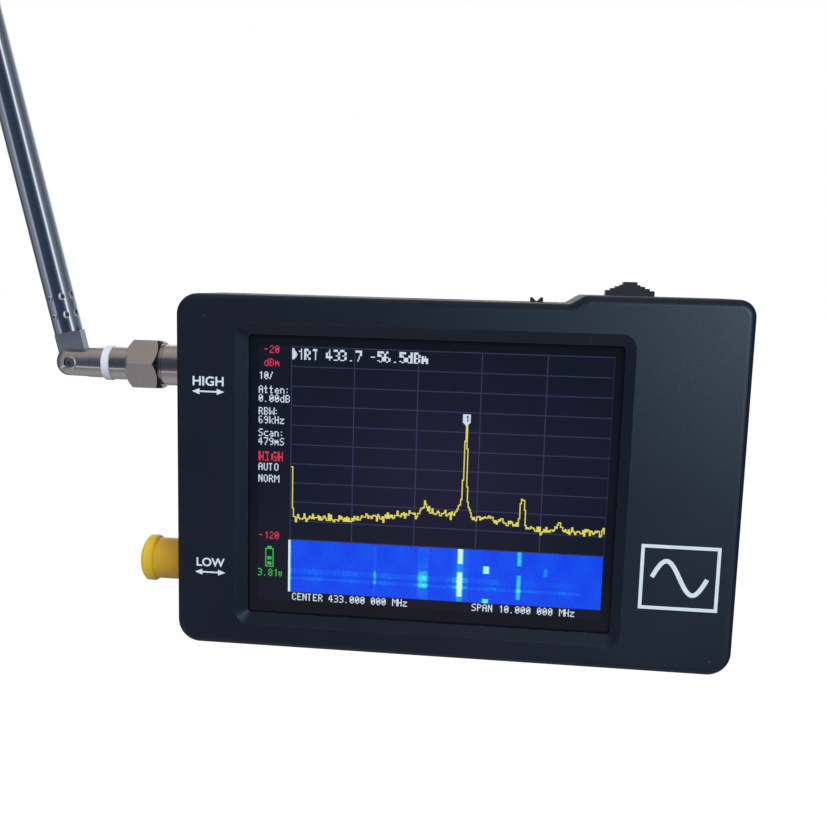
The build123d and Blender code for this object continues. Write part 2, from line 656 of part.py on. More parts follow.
INSULATOR_OUTLINE = [
    (FLANGE_X1, INSULATOR_BORE_R), (JACK_X0 + 0.05, INSULATOR_BORE_R),
    (JACK_X0 + 0.05, INSULATOR_R), (FLANGE_X1, INSULATOR_R),
]
# Centre contact: a bored socket at the outer end, a thin round tail over the board
TAIL_X1, TAIL_R = -40.2, 0.28
SOCKET_FLOOR_X, SOCKET_R = -47.9, 0.5
CONTACT_OUTLINE = [
    (TAIL_X1, 0), (TAIL_X1, TAIL_R), (FLANGE_X1 + 0.02, TAIL_R), (FLANGE_X1 + 0.02, CONTACT_R),
    (JACK_X0 + 0.15, CONTACT_R), (JACK_X0 + 0.15, SOCKET_R),
    (SOCKET_FLOOR_X, SOCKET_R), (SOCKET_FLOOR_X, 0),
]


def make_port(level, z):
    """Jack, insulator and centre contact of the port at height z."""
    with BuildPart() as jack:
        slab(FLANGE_X0, FLANGE_X1, PORT_Y - FLANGE_HALF, PORT_Y + FLANGE_HALF,
             z - FLANGE_HALF, z + FLANGE_HALF)
        # legs in front of the board and behind it
        for leg_z in (z - LEG_OFFSET, z + LEG_OFFSET):
            for leg_y in (BOARD_Y0 - LEG_T, BOARD_Y1):
                slab(FLANGE_X1 - 0.1, LEG_X1, leg_y, leg_y + LEG_T,
                     leg_z - LEG_HALF, leg_z + LEG_HALF)
        # bore through the flange
        turned_on_port([(FLANGE_X1 + 0.5, 0), (FLANGE_X1 + 0.5, SLEEVE_BORE_R),
                        (FLANGE_X0 - 0.5, SLEEVE_BORE_R), (FLANGE_X0 - 0.5, 0)],
                       z, Mode.SUBTRACT)
        turned_on_port(jack_outline(), z)
    save(f"sma_{level}_jack", jack)

    with BuildPart() as insulator:
        turned_on_port(INSULATOR_OUTLINE, z)
    save(f"sma_{level}_insulator", insulator)

    with BuildPart() as contact:
        turned_on_port(CONTACT_OUTLINE, z)
    save(f"sma_{level}_contact", contact)


make_port("high", PORT_HIGH_Z)
make_port("low", PORT_LOW_Z)

# Push-on dust cap over the low port
CAP_X0, CAP_X1 = -53.7, -45.75
CAP_FLOOR_X = -52.4          # end of the cap's bore
CAP_BORE_R = 3.21
with BuildPart() as port_cap:
    with BuildSketch(facing(PORT_Y, PORT_LOW_Z)):
        with BuildLine():
            Polyline((-50.75, 3.52), (CAP_X1, 3.5), (CAP_X1, CAP_BORE_R),
                     (CAP_FLOOR_X, CAP_BORE_R), (CAP_FLOOR_X, 0), (CAP_X0, 0))
            # domed end, running into the gripping lip
            ThreePointArc((CAP_X0, 0), (-53.45, 2.2), (-52.75, 3.6))
            Polyline((-52.75, 3.6), (-52.4, 3.92), (-51.3, 3.95))
            ThreePointArc((-51.3, 3.95), (-50.95, 3.8), (-50.75, 3.52))
        make_face()
    revolve(axis=port_axis(PORT_LOW_Z))
save("port_cap", port_cap)

# ---------------------------------------------------------------------------
# Antenna base on the high port: plug, coupling nut, insulating spacer and elbow
# ---------------------------------------------------------------------------
NUT_X0, NUT_X1 = -55.15, -46.05
NUT_HEX_X1 = -49.6            # right end of the hexagon
NUT_FLATS = 8.0
NUT_TURN = 6.0                # angle the nut happens to stop at when tight
NUT_BORE_R = 3.2
NUT_SEAT_X = -54.6            # left end of the wide bore
COLLAR_R = 3.5
BODY_X0, BODY_X1 = -58.5, -50.6
BODY_R = 2.8
BODY_STEP_X = -56.9           # where the bore of the body narrows
BODY_BORE_R = 1.8             # narrow bore of the body
RING_X0, RING_X1 = -54.45, -54.05    # retaining ring groove in the body
RING_FLOOR_R = 2.44
SPACER_X0 = -59.8
SPACER_X1 = -57.0
SPACER_R = 2.95
SPACER_BORE_R = 1.3
ELBOW_X0, ELBOW_X1 = -68.4, -57.1
SPIGOT_R = SPACER_BORE_R - 0.05
PIVOT_X = -65.25

with BuildPart() as coupling_nut:
    with BuildSketch(across(NUT_X0, PORT_Y, PORT_HIGH_Z)):
        RegularPolygon(NUT_FLATS / 2, 6, major_radius=False, rotation=-NUT_TURN)
    extrude(amount=NUT_HEX_X1 - NUT_X0)
    # both ends of the hexagon are turned down to a cone
    turned_on_port([(NUT_X0 - 1, 3.35), (NUT_X0, 3.72), (NUT_X0 + 1.0, 4.75),
                    (NUT_X0 + 1.0, 6.0), (NUT_X0 - 1, 6.0)], PORT_HIGH_Z, Mode.SUBTRACT)
    turned_on_port([(NUT_HEX_X1 + 1, 3.55), (NUT_HEX_X1, 3.8), (NUT_HEX_X1 - 0.75, 4.75),
                    (NUT_HEX_X1 - 0.75, 6.0), (NUT_HEX_X1 + 1, 6.0)],
                   PORT_HIGH_Z, Mode.SUBTRACT)
    # round collar, with a shallow neck where it meets the hexagon
    turned_on_port([(NUT_HEX_X1 - 0.5, 1.0), (NUT_HEX_X1 - 0.5, 3.38), (NUT_HEX_X1 + 0.35, 3.38),
                    (NUT_HEX_X1 + 0.5, COLLAR_R), (NUT_X1 - 0.2, COLLAR_R),
                    (NUT_X1, COLLAR_R - 0.12), (NUT_X1, 1.0)], PORT_HIGH_Z)
    # bore: threaded length, then the seat behind the retaining ring
    turned_on_port([(NUT_X1 + 1, 0), (NUT_X1 + 1, NUT_BORE_R), (NUT_SEAT_X, NUT_BORE_R),
                    (NUT_SEAT_X, BODY_R + 0.05), (NUT_X0 - 1, BODY_R + 0.05), (NUT_X0 - 1, 0)],
                   PORT_HIGH_Z, Mode.SUBTRACT)
save("coupling_nut", coupling_nut)

with BuildPart() as plug_body:
    turned_on_port([(BODY_X0, BODY_BORE_R), (BODY_X0, BODY_R - 0.1), (BODY_X0 + 0.1, BODY_R),
                    (RING_X0, BODY_R), (RING_X0, RING_FLOOR_R), (RING_X1, RING_FLOOR_R),
                    (RING_X1, BODY_R), (-53.0, BODY_R), (-52.6, 2.35), (BODY_X1, 2.35),
                    (BODY_X1, SLEEVE_BORE_R), (BODY_STEP_X, SLEEVE_BORE_R),
                    (BODY_STEP_X, BODY_BORE_R)], PORT_HIGH_Z)
save("plug_body", plug_body)

PLUG_CORE_X0 = BODY_STEP_X + 0.05    # left end of the insulator and the pin
with BuildPart() as plug_insulator:
    turned_on_port([(PLUG_CORE_X0, INSULATOR_BORE_R), (PLUG_CORE_X0, INSULATOR_R),
                    (BODY_X1 - 0.03, INSULATOR_R), (BODY_X1 - 0.03, INSULATOR_BORE_R)],
                   PORT_HIGH_Z)
save("plug_insulator", plug_insulator)

with BuildPart() as plug_centre_pin:
    turned_on_port([(PLUG_CORE_X0, 0), (PLUG_CORE_X0, CONTACT_R), (BODY_X1 - 0.05, CONTACT_R),
                    (BODY_X1 + 0.1, 0.455), (-48.7, 0.455), (-48.35, 0.15), (-48.35, 0)],
                   PORT_HIGH_Z)
save("plug_centre_pin", plug_centre_pin)

# Split ring that holds the nut on the plug, with its gap at the bottom
with BuildPart() as nut_retaining_ring:
    turned_on_port([(RING_X0 + 0.03, RING_FLOOR_R + 0.02), (RING_X0 + 0.03, NUT_BORE_R - 0.06),
                    (RING_X1 - 0.03, NUT_BORE_R - 0.06), (RING_X1 - 0.03, RING_FLOOR_R + 0.02)],
                   PORT_HIGH_Z)
    slab(-55, -53, PORT_Y - 0.4, PORT_Y + 0.4, PORT_HIGH_Z - 4, PORT_HIGH_Z - 1, Mode.SUBTRACT)
save("nut_retaining_ring", nut_retaining_ring)

SPACER_NECK_R = BODY_BORE_R - 0.03   # part of the spacer inside the plug body
with BuildPart() as spacer_ring:
    turned_on_port([(SPACER_X0, SPACER_BORE_R), (SPACER_X0, SPACER_R - 0.1),
                    (SPACER_X0 + 0.1, SPACER_R), (BODY_X0 - 0.1, SPACER_R),
                    (BODY_X0, SPACER_R - 0.1), (BODY_X0, SPACER_NECK_R),
                    (SPACER_X1, SPACER_NECK_R), (SPACER_X1, SPACER_BORE_R)], PORT_HIGH_Z)
save("spacer_ring", spacer_ring)

# Elbow: a forked cylinder. The tang of the mast folds in its slot.
FORK_GAP = 2.0
RIVET_R = 0.8
RIVET_HEAD_R = 1.1
RIVET_SEAT = 2.15             # from the middle of the elbow to each rivet seat
RIVET_HALF = 2.2              # half length of the shank
RIVET_END = 2.6               # from the middle to the outer face of each head
with BuildPart() as elbow:
    with BuildSketch(facing(PORT_Y, PORT_HIGH_Z)):
        with BuildLine():
            Polyline((ELBOW_X0, 0), (ELBOW_X1, 0), (ELBOW_X1, SPIGOT_R), (SPACER_X0, SPIGOT_R),
                     (SPACER_X0, 2.5), (SPACER_X0 - 0.12, 2.6), (ELBOW_X0 + 2.0, 2.5))
            TangentArc((ELBOW_X0 + 2.0, 2.5), (ELBOW_X0, 0.55), tangent=(-1, -0.02))
            Line((ELBOW_X0, 0.55), (ELBOW_X0, 0))
        make_face()
    revolve(axis=port_axis(PORT_HIGH_Z))
    # saw-cut slot, open at the top, the left end and the bottom
    with BuildSketch(facing(PORT_Y + FORK_GAP / 2, PORT_HIGH_Z)):
        with BuildLine():
            Polyline(
                (ELBOW_X0 - 2, 4), (-61.1, 4), (-61.25, 2.6), (-62.7, -1.5),
                (-62.95, -4), (ELBOW_X0 - 2, -4), close=True,
            )
        make_face()
    extrude(amount=FORK_GAP, mode=Mode.SUBTRACT)
    # rivet hole with sunk seats
    for radius, y0, y1 in (
        (RIVET_R + 0.02, -4, 4),
        (RIVET_HEAD_R + 0.02, -4, -RIVET_SEAT),
        (RIVET_HEAD_R + 0.02, RIVET_SEAT, 4),
    ):
        post(PIVOT_X, PORT_HIGH_Z, radius, PORT_Y + y0, PORT_Y + y1, Mode.SUBTRACT)
save("elbow", elbow)

with BuildPart() as elbow_rivet:
    for radius, y0, y1 in (
        (RIVET_R, -RIVET_HALF, RIVET_HALF),
        (RIVET_HEAD_R, -RIVET_END, -RIVET_SEAT),
        (RIVET_HEAD_R, RIVET_SEAT, RIVET_END),
    ):
        post(PIVOT_X, PORT_HIGH_Z, radius, PORT_Y + y0, PORT_Y + y1)
    # both rims are picked before either is chamfered
    for head_edges in (edges().filter_by(GeomType.CIRCLE).group_by(Axis.Y)[0],
                       edges().filter_by(GeomType.CIRCLE).group_by(Axis.Y)[-1]):
        chamfer(head_edges, 0.28)
    # drilled ends left by the riveting tool
    for y0, y1 in ((-3, -RIVET_HALF), (RIVET_HALF, 3)):
        post(PIVOT_X, PORT_HIGH_Z, 0.45, PORT_Y + y0, PORT_Y + y1, Mode.SUBTRACT)
save("elbow_rivet", elbow_rivet)

# ---------------------------------------------------------------------------
# Telescopic mast, modelled closed and leaning. Its turned outlines are
# (radius, length up the mast from the pivot) points.
# ---------------------------------------------------------------------------
LEAN = 13.8                   # mast leans this far from upright, away from the case
MAST_FOOT = 5.1               # pivot to the foot of the outer tube
MAST_RIM = 77.1               # pivot to the rim of the outer tube
TUBE_R = [2.40, 2.00, 1.60, 1.20, 0.80]    # outer radius of each section, rod last
TUBE_WALL = 0.25
STEP_OUT = 1.2                # each closed section stands this far out of the last
RIM_GAP = 0.04                # between a rim and the section inside it
SWAGE_GAP = 0.05              # between a widened foot and the tube round it

LEAN_SIN, LEAN_COS = sin(radians(LEAN)), cos(radians(LEAN))
PIVOT = (PIVOT_X, PORT_Y, PORT_HIGH_Z)
ACROSS_MAST = (LEAN_COS, 0, LEAN_SIN)
UP_MAST = (-LEAN_SIN, 0, LEAN_COS)
mast_axis = Axis(PIVOT, UP_MAST)
mast_section = Plane(origin=PIVOT, x_dir=ACROSS_MAST, z_dir=(0, -1, 0))
mast_cross = Plane(origin=PIVOT, x_dir=ACROSS_MAST, z_dir=UP_MAST)


def bore_radius(i):
    """Inner radius of tube i, where 0 is the outermost."""
    return TUBE_R[i] - TUBE_WALL


def section_span(i):
    """Foot and rim of closed section i along the mast."""
    return MAST_FOOT + 8.4 + 0.8 * (i - 1), MAST_RIM + STEP_OUT * i


TANG_T = 1.9
TANG_HALF = 2.3               # half width, and radius of the round end
PLUG_R = bore_radius(0) - 0.02
with BuildPart() as mast_tang:
    with BuildSketch(mast_section.offset(-TANG_T / 2)):
        Circle(TANG_HALF)
        with Locations((0, (MAST_FOOT + 0.4) / 2)):
            Rectangle(2 * TANG_HALF, MAST_FOOT + 0.4)
    extrude(amount=TANG_T)
    # plug inside the outer tube
    with BuildSketch(mast_cross.offset(MAST_FOOT)):
        Circle(PLUG_R)
    extrude(amount=8.0)
    # the tang keeps its width below the tube only
    with BuildSketch(mast_cross.offset(MAST_FOOT)):
        Circle(4.0)
        Circle(PLUG_R, mode=Mode.SUBTRACT)
    extrude(amount=2.0, mode=Mode.SUBTRACT)
    # rivet hole
    with BuildSketch(mast_section.offset(-3)):
        Circle(RIVET_R + 0.06)
    extrude(amount=6, mode=Mode.SUBTRACT)
save("mast_tang", mast_tang)

DIMPLE_R = 1.1
DIMPLE_DEPTH = 0.19
with BuildPart() as mast_tube_1:
    turned([(bore_radius(0), MAST_FOOT), (TUBE_R[0], MAST_FOOT), (TUBE_R[0], MAST_RIM - 0.3),
            (TUBE_R[0] - 0.3, MAST_RIM), (TUBE_R[1] + RIM_GAP, MAST_RIM),
            (TUBE_R[1] + RIM_GAP, MAST_RIM - 0.6), (bore_radius(0), MAST_RIM - 0.6)],
           mast_section, mast_axis)
    # two rows of punch marks grip the plug inside
    for row_height in (MAST_FOOT + 2.9, MAST_FOOT + 6.0):
        with Locations(mast_cross.offset(row_height)):
            with PolarLocations(TUBE_R[0] + DIMPLE_R - DIMPLE_DEPTH, 8, start_angle=-105):
                Sphere(DIMPLE_R, mode=Mode.SUBTRACT)
save("mast_tube_1", mast_tube_1)


def make_middle_tube(i):
    """Middle tube: swaged foot, straight wall, rolled-in rim."""
    foot, rim = section_span(i)
    inner, outer = bore_radius(i), TUBE_R[i]
    swage = bore_radius(i - 1) - SWAGE_GAP
    lip = TUBE_R[i + 1] + RIM_GAP
    with BuildPart() as tube:
        turned([(inner, foot), (swage, foot), (swage, foot + 0.8), (outer, foot + 1.0),
                (outer, rim - 0.2), (outer - 0.15, rim), (lip, rim), (lip, rim - 0.5),
                (inner, rim - 0.5)], mast_section, mast_axis)
    save(f"mast_tube_{i + 1}", tube)


for i in (1, 2, 3):
    make_middle_tube(i)

ROD_FOOT, ROD_RIM = section_span(4)
ROD_R = TUBE_R[4]
ROD_END = ROD_RIM + 2.2
ROD_SWAGE = bore_radius(3) - SWAGE_GAP
with BuildPart() as mast_rod:
    turned([(0, ROD_FOOT), (ROD_SWAGE, ROD_FOOT), (ROD_SWAGE, ROD_FOOT + 0.8),
            (ROD_R, ROD_FOOT + 1.0), (ROD_R, ROD_END), (0, ROD_END)], mast_section, mast_axis)
save("mast_rod", mast_rod)

# Button that caps the rod
with BuildPart() as mast_tip:
    turned([(0, ROD_END + 0.02), (ROD_R + 0.01, ROD_END + 0.02), (ROD_R + 0.01, ROD_RIM),
            (1.9, ROD_RIM), (2.3, ROD_RIM + 0.3), (2.3, ROD_RIM + 2.6), (1.7, ROD_RIM + 3.5),
            (0, ROD_RIM + 3.8)], mast_section, mast_axis)
save("mast_tip", mast_tip)


def make_friction_sleeve(i):
    """Thin sleeve round section i that rubs on the tube outside, slit along its back."""
    foot, _ = section_span(i)
    inner = TUBE_R[i] + 0.015
    outer = bore_radius(i - 1) - 0.04
    with BuildPart() as sleeve:
        turned([(inner, foot + 1.06), (outer, foot + 1.06), (outer, foot + 4.6),
                (inner, foot + 4.6)], mast_section, mast_axis)
        with BuildSketch(mast_cross.offset(foot + 0.5)):
            with Locations((0, TUBE_R[i])):
                Rectangle(0.5, 1.4)
        extrude(amount=5.0, mode=Mode.SUBTRACT)
    save(f"friction_sleeve_{i + 1}", sleeve)


for i in (1, 2, 3, 4):
    make_friction_sleeve(i)
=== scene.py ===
import math

import bmesh
import bpy
import numpy as np
from mathutils import Matrix, Vector


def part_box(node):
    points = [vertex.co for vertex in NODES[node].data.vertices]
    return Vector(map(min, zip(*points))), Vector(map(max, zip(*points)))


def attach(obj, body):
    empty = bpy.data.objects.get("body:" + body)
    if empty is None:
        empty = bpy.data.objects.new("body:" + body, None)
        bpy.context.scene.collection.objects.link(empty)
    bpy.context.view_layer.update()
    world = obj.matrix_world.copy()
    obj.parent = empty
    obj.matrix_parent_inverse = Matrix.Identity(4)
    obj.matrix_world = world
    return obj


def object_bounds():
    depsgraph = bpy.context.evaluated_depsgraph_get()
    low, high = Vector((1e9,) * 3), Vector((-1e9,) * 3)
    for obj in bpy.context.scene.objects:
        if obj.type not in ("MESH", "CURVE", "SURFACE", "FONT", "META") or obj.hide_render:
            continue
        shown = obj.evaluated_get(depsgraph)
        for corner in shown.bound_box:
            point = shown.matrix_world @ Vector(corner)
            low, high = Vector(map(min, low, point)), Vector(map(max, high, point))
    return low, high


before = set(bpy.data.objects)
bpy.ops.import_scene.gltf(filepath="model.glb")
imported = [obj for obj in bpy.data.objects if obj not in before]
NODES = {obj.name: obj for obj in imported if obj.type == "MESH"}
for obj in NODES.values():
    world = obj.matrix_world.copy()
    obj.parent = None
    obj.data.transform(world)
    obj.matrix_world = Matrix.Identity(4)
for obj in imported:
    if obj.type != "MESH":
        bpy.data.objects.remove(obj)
CAD_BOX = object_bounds()
MM = 0.001


# ---------------------------------------------------------------------------
# Colours and objects
# ---------------------------------------------------------------------------

def to_linear(values):
    """sRGB values, 0..255, to linear ones, as an array."""
    share = np.asarray(values) / 255.0
    return np.where(share <= 0.04045, share / 12.92, ((share + 0.055) / 1.055) ** 2.4)


def lin(r, g, b):
    return tuple(to_linear((r, g, b)).tolist())


def rgba(colour):
    return (*colour, 1.0)


def scaled(colour, factor):
    return tuple(min(1.0, c * factor) for c in colour)


def add_object(name, data):
    obj = bpy.data.objects.new(name, data)
    bpy.context.scene.collection.objects.link(obj)
    return obj


# ---------------------------------------------------------------------------
# Node helpers
# ---------------------------------------------------------------------------

class Net:
    """Short-hand for building one node tree. Any input takes a socket or a plain value."""

    def __init__(self, tree):
        self.tree = tree
        tree.nodes.clear()

    def node(self, kind, inputs=None, **props):
        made = self.tree.nodes.new(kind)
        for key, value in props.items():
            setattr(made, key, value)
        self.fill(made, inputs or {})
        return made

    def fill(self, node, inputs):
        for key, value in inputs.items():
            if hasattr(value, "is_output"):
                self.tree.links.new(value, node.inputs[key])
            else:
                node.inputs[key].default_value = value

    def maths(self, operation, a, b=0.0, c=None):
        inputs = {0: a, 1: b}
        if c is not None:
            inputs[2] = c
        return self.node("ShaderNodeMath", inputs, operation=operation).outputs[0]

    def product(self, a, b):
        return self.maths("MULTIPLY", a, b)

    def drift(self, value, noise, amount):
        """Moves a value up and down with a noise centred on 0.5."""
        return self.maths("MULTIPLY_ADD", self.maths("SUBTRACT", noise, 0.5), amount, value)

    def offset(self, value, centre, width):
        """Distance from a centre, counted in widths."""
        return self.maths("DIVIDE", self.maths("SUBTRACT", value, centre), width)

    def bell(self, squared):
        return self.maths("EXPONENT", self.product(squared, -1.0))

    def span(self, value, start, end, low=0.0, high=1.0, smooth=False):
        """Maps start..end to low..high and holds the end values outside."""
        return self.node("ShaderNodeMapRange", dict(enumerate((value, start, end, low, high))),
                         clamp=True,
                         interpolation_type="SMOOTHSTEP" if smooth else "LINEAR").outputs[0]

    def mix(self, factor, a, b, blend="MIX"):
        mixer = self.node("ShaderNodeMix", data_type="RGBA", blend_type=blend)
        self.fill(mixer, {0: factor, 6: a, 7: b})
        return mixer.outputs[2]

    def mix_shaders(self, factor, a, b):
        return self.node("ShaderNodeMixShader", {0: factor, 1: a, 2: b}).outputs[0]

    def noise(self, vector, scale, detail, rough):
        return self.node("ShaderNodeTexNoise", {
            "Vector": vector, "Scale": scale, "Detail": detail, "Roughness": rough}).outputs[0]

    def cells(self, vector, scale):
        return self.node("ShaderNodeTexVoronoi", {"Vector": vector, "Scale": scale}, feature="F1")

    def mapping(self, vector, scale, rotation):
        return self.node("ShaderNodeMapping", {
            "Vector": vector, "Scale": scale, "Rotation": rotation}).outputs[0]

    def coordinates(self, kind):
        return self.node("ShaderNodeTexCoord").outputs[kind]

    def geometry(self, kind):
        return self.node("ShaderNodeNewGeometry").outputs[kind]

    def xyz(self, vector):
        return self.node("ShaderNodeSeparateXYZ", {0: vector}).outputs

    def ramp(self, factor, stops):
        made = self.node("ShaderNodeValToRGB", {0: factor})
        elements = made.color_ramp.elements
        while len(elements) > 1:
            elements.remove(elements[-1])
        elements[0].position, elements[0].color = stops[0][0], rgba(stops[0][1])
        for position, colour in stops[1:]:
            elements.new(position).color = rgba(colour)
        return made.outputs[0]


def blank_material(name):
    made = bpy.data.materials.new(name)
    made.use_nodes = True
    net = Net(made.node_tree)
    return made, net, net.node("ShaderNodeOutputMaterial")


def principled_material(name):
    made, net, out = blank_material(name)
    surface = net.node("ShaderNodeBsdfPrincipled", {"IOR": 1.5})
    net.fill(out, {0: surface.outputs[0]})
    return made, net, surface


# ---------------------------------------------------------------------------
# Finishes
# ---------------------------------------------------------------------------

def rubbed_edges(net, at, amount, radius):
    """Patchy mask along the edges, found by bending the normal over a radius in mm."""
    bevel = net.node("ShaderNodeBevel", {"Radius": radius * MM}, samples=4)
    facing = net.node("ShaderNodeVectorMath",
                      {0: bevel.outputs[0], 1: net.geometry("Normal")}, operation="DOT_PRODUCT")
    bend = net.maths("SUBTRACT", 1.0, facing.outputs["Value"])
    edge = net.span(bend, start=0.01, end=0.20)
    patches = net.span(net.noise(at, scale=420.0, detail=4.0, rough=0.65), start=0.42, end=0.66)
    return net.product(net.product(edge, patches), amount)


def stray_specks(net, at):
    """Mask of small round specks, one in a few cells."""
    cells = net.cells(at, scale=520.0)
    pick = net.node("ShaderNodeSeparateColor", {0: cells.outputs["Color"]})
    return net.product(net.span(cells.outputs["Distance"], start=0.05, end=0.028),
                       net.span(pick.outputs[0], start=0.80, end=0.86))


def material(name, base, rough, metallic=0.0, grain=2500.0, blotch=90.0, vary=0.10,
             rough_vary=0.10, bump=0.01, wear=0.0, wear_colour=None, wear_radius=0.25,
             streak=None, subsurface=0.0, pits=0.0, dust=0.0, specular=0.5, end_light_and_case_shade=None):
    """A finish from noise: colour drift, roughness drift, a fine bump, and rubbed edges.

    grain and blotch are the scales of the fine and broad noise; bump and wear_radius are
    in mm; the last argument is a pair of tints, painted light for the left end and painted shade
    for the rest.
    """
    made, net, surface = principled_material(name)
    at = net.coordinates("Object")
    fine = net.noise(at, grain, detail=3.0, rough=0.6)
    broad = net.noise(at, blotch, detail=4.0, rough=0.55)
    colour = net.mix(broad, rgba(scaled(base, 1 - vary)), rgba(scaled(base, 1 + vary)))
    roughness = net.drift(rough, broad, rough_vary * 2)
    roughness = net.drift(roughness, fine, rough_vary * 0.6)
    height = fine
    if streak:
        # drawn or turned metal: noise pulled out along one direction
        stretched = net.mapping(at, streak["stretch"], streak["turn"])
        lines = net.noise(stretched, scale=1.0, detail=3.0, rough=0.6)
        roughness = net.drift(roughness, lines, rough_vary * 1.2)
        height = net.maths("MULTIPLY_ADD", lines, streak["depth"], height)
        colour = net.mix(net.span(lines, start=0.3, end=0.7), colour,
                         rgba(scaled(base, 1 + vary * 0.7)))
    if pits:
        spots = net.cells(at, scale=grain * 0.35)
        dent = net.span(spots.outputs["Distance"], start=0.0, end=0.45, smooth=True)
        height = net.maths("MULTIPLY_ADD", dent, pits, height)
    if wear:
        rub = rubbed_edges(net, at, wear, wear_radius)
        colour = net.mix(rub, colour, rgba(wear_colour))
        # rubbed places are a little smoother
        roughness = net.maths("MULTIPLY_ADD", rub, -0.10, roughness)
    if dust:
        colour = net.mix(net.product(stray_specks(net, at), dust), colour,
                         rgba(lin(150, 160, 172)))
    # painted light on the left end and painted shade on the rest, towards the case
    if end_light_and_case_shade:
        along = net.xyz(net.coordinates("Generated"))[0]
        tint = net.mix(net.span(along, start=0.12, end=0.62, smooth=True),
                       rgba(end_light_and_case_shade[0]), rgba(end_light_and_case_shade[1]))
        colour = net.mix(1.0, colour, tint, "MULTIPLY")
    if specular < 0.5:
        # walls that face right have a deader texture
        facing_right = net.xyz(net.geometry("Normal"))[0]
        specular = net.span(facing_right, start=0.25, end=0.5, low=specular, high=specular * 0.4)
    net.fill(surface, {
        "Base Color": colour,
        "Roughness": net.maths("MAXIMUM", roughness, 0.03),
        "Metallic": metallic,
        "Specular IOR Level": specular,
        "Coat Roughness": 0.1,
    })
    if subsurface:
        net.fill(surface, {
            "Subsurface Weight": subsurface,
            "Subsurface Radius": (1.0, 0.6, 0.2),
            "Subsurface Scale": 1.2 * MM,
        })
    relief = net.node("ShaderNodeBump",
                      {"Strength": 1.0, "Distance": bump * MM, "Height": height})
    net.fill(surface, {"Normal": relief.outputs[0]})
    made.diffuse_color = rgba(base)
    return made


# Streaks: turn of the noise, its scale along X, Y and Z (small is long), and relief depth
MAST_LEAN = math.radians(13.8)
UNTURNED = (0.0, 0.0, 0.0)
ALONG_MAST = dict(turn=(0.0, MAST_LEAN, 0.0), stretch=(2600.0, 2600.0, 60.0), depth=1.6)
ALONG_X = dict(turn=UNTURNED, stretch=(300.0, 2600.0, 2600.0), depth=0.8)
ACROSS_X = dict(turn=UNTURNED, stretch=(2600.0, 500.0, 500.0), depth=0.8)
ALONG_XY = dict(turn=UNTURNED, stretch=(60.0, 60.0, 2600.0), depth=1.0)

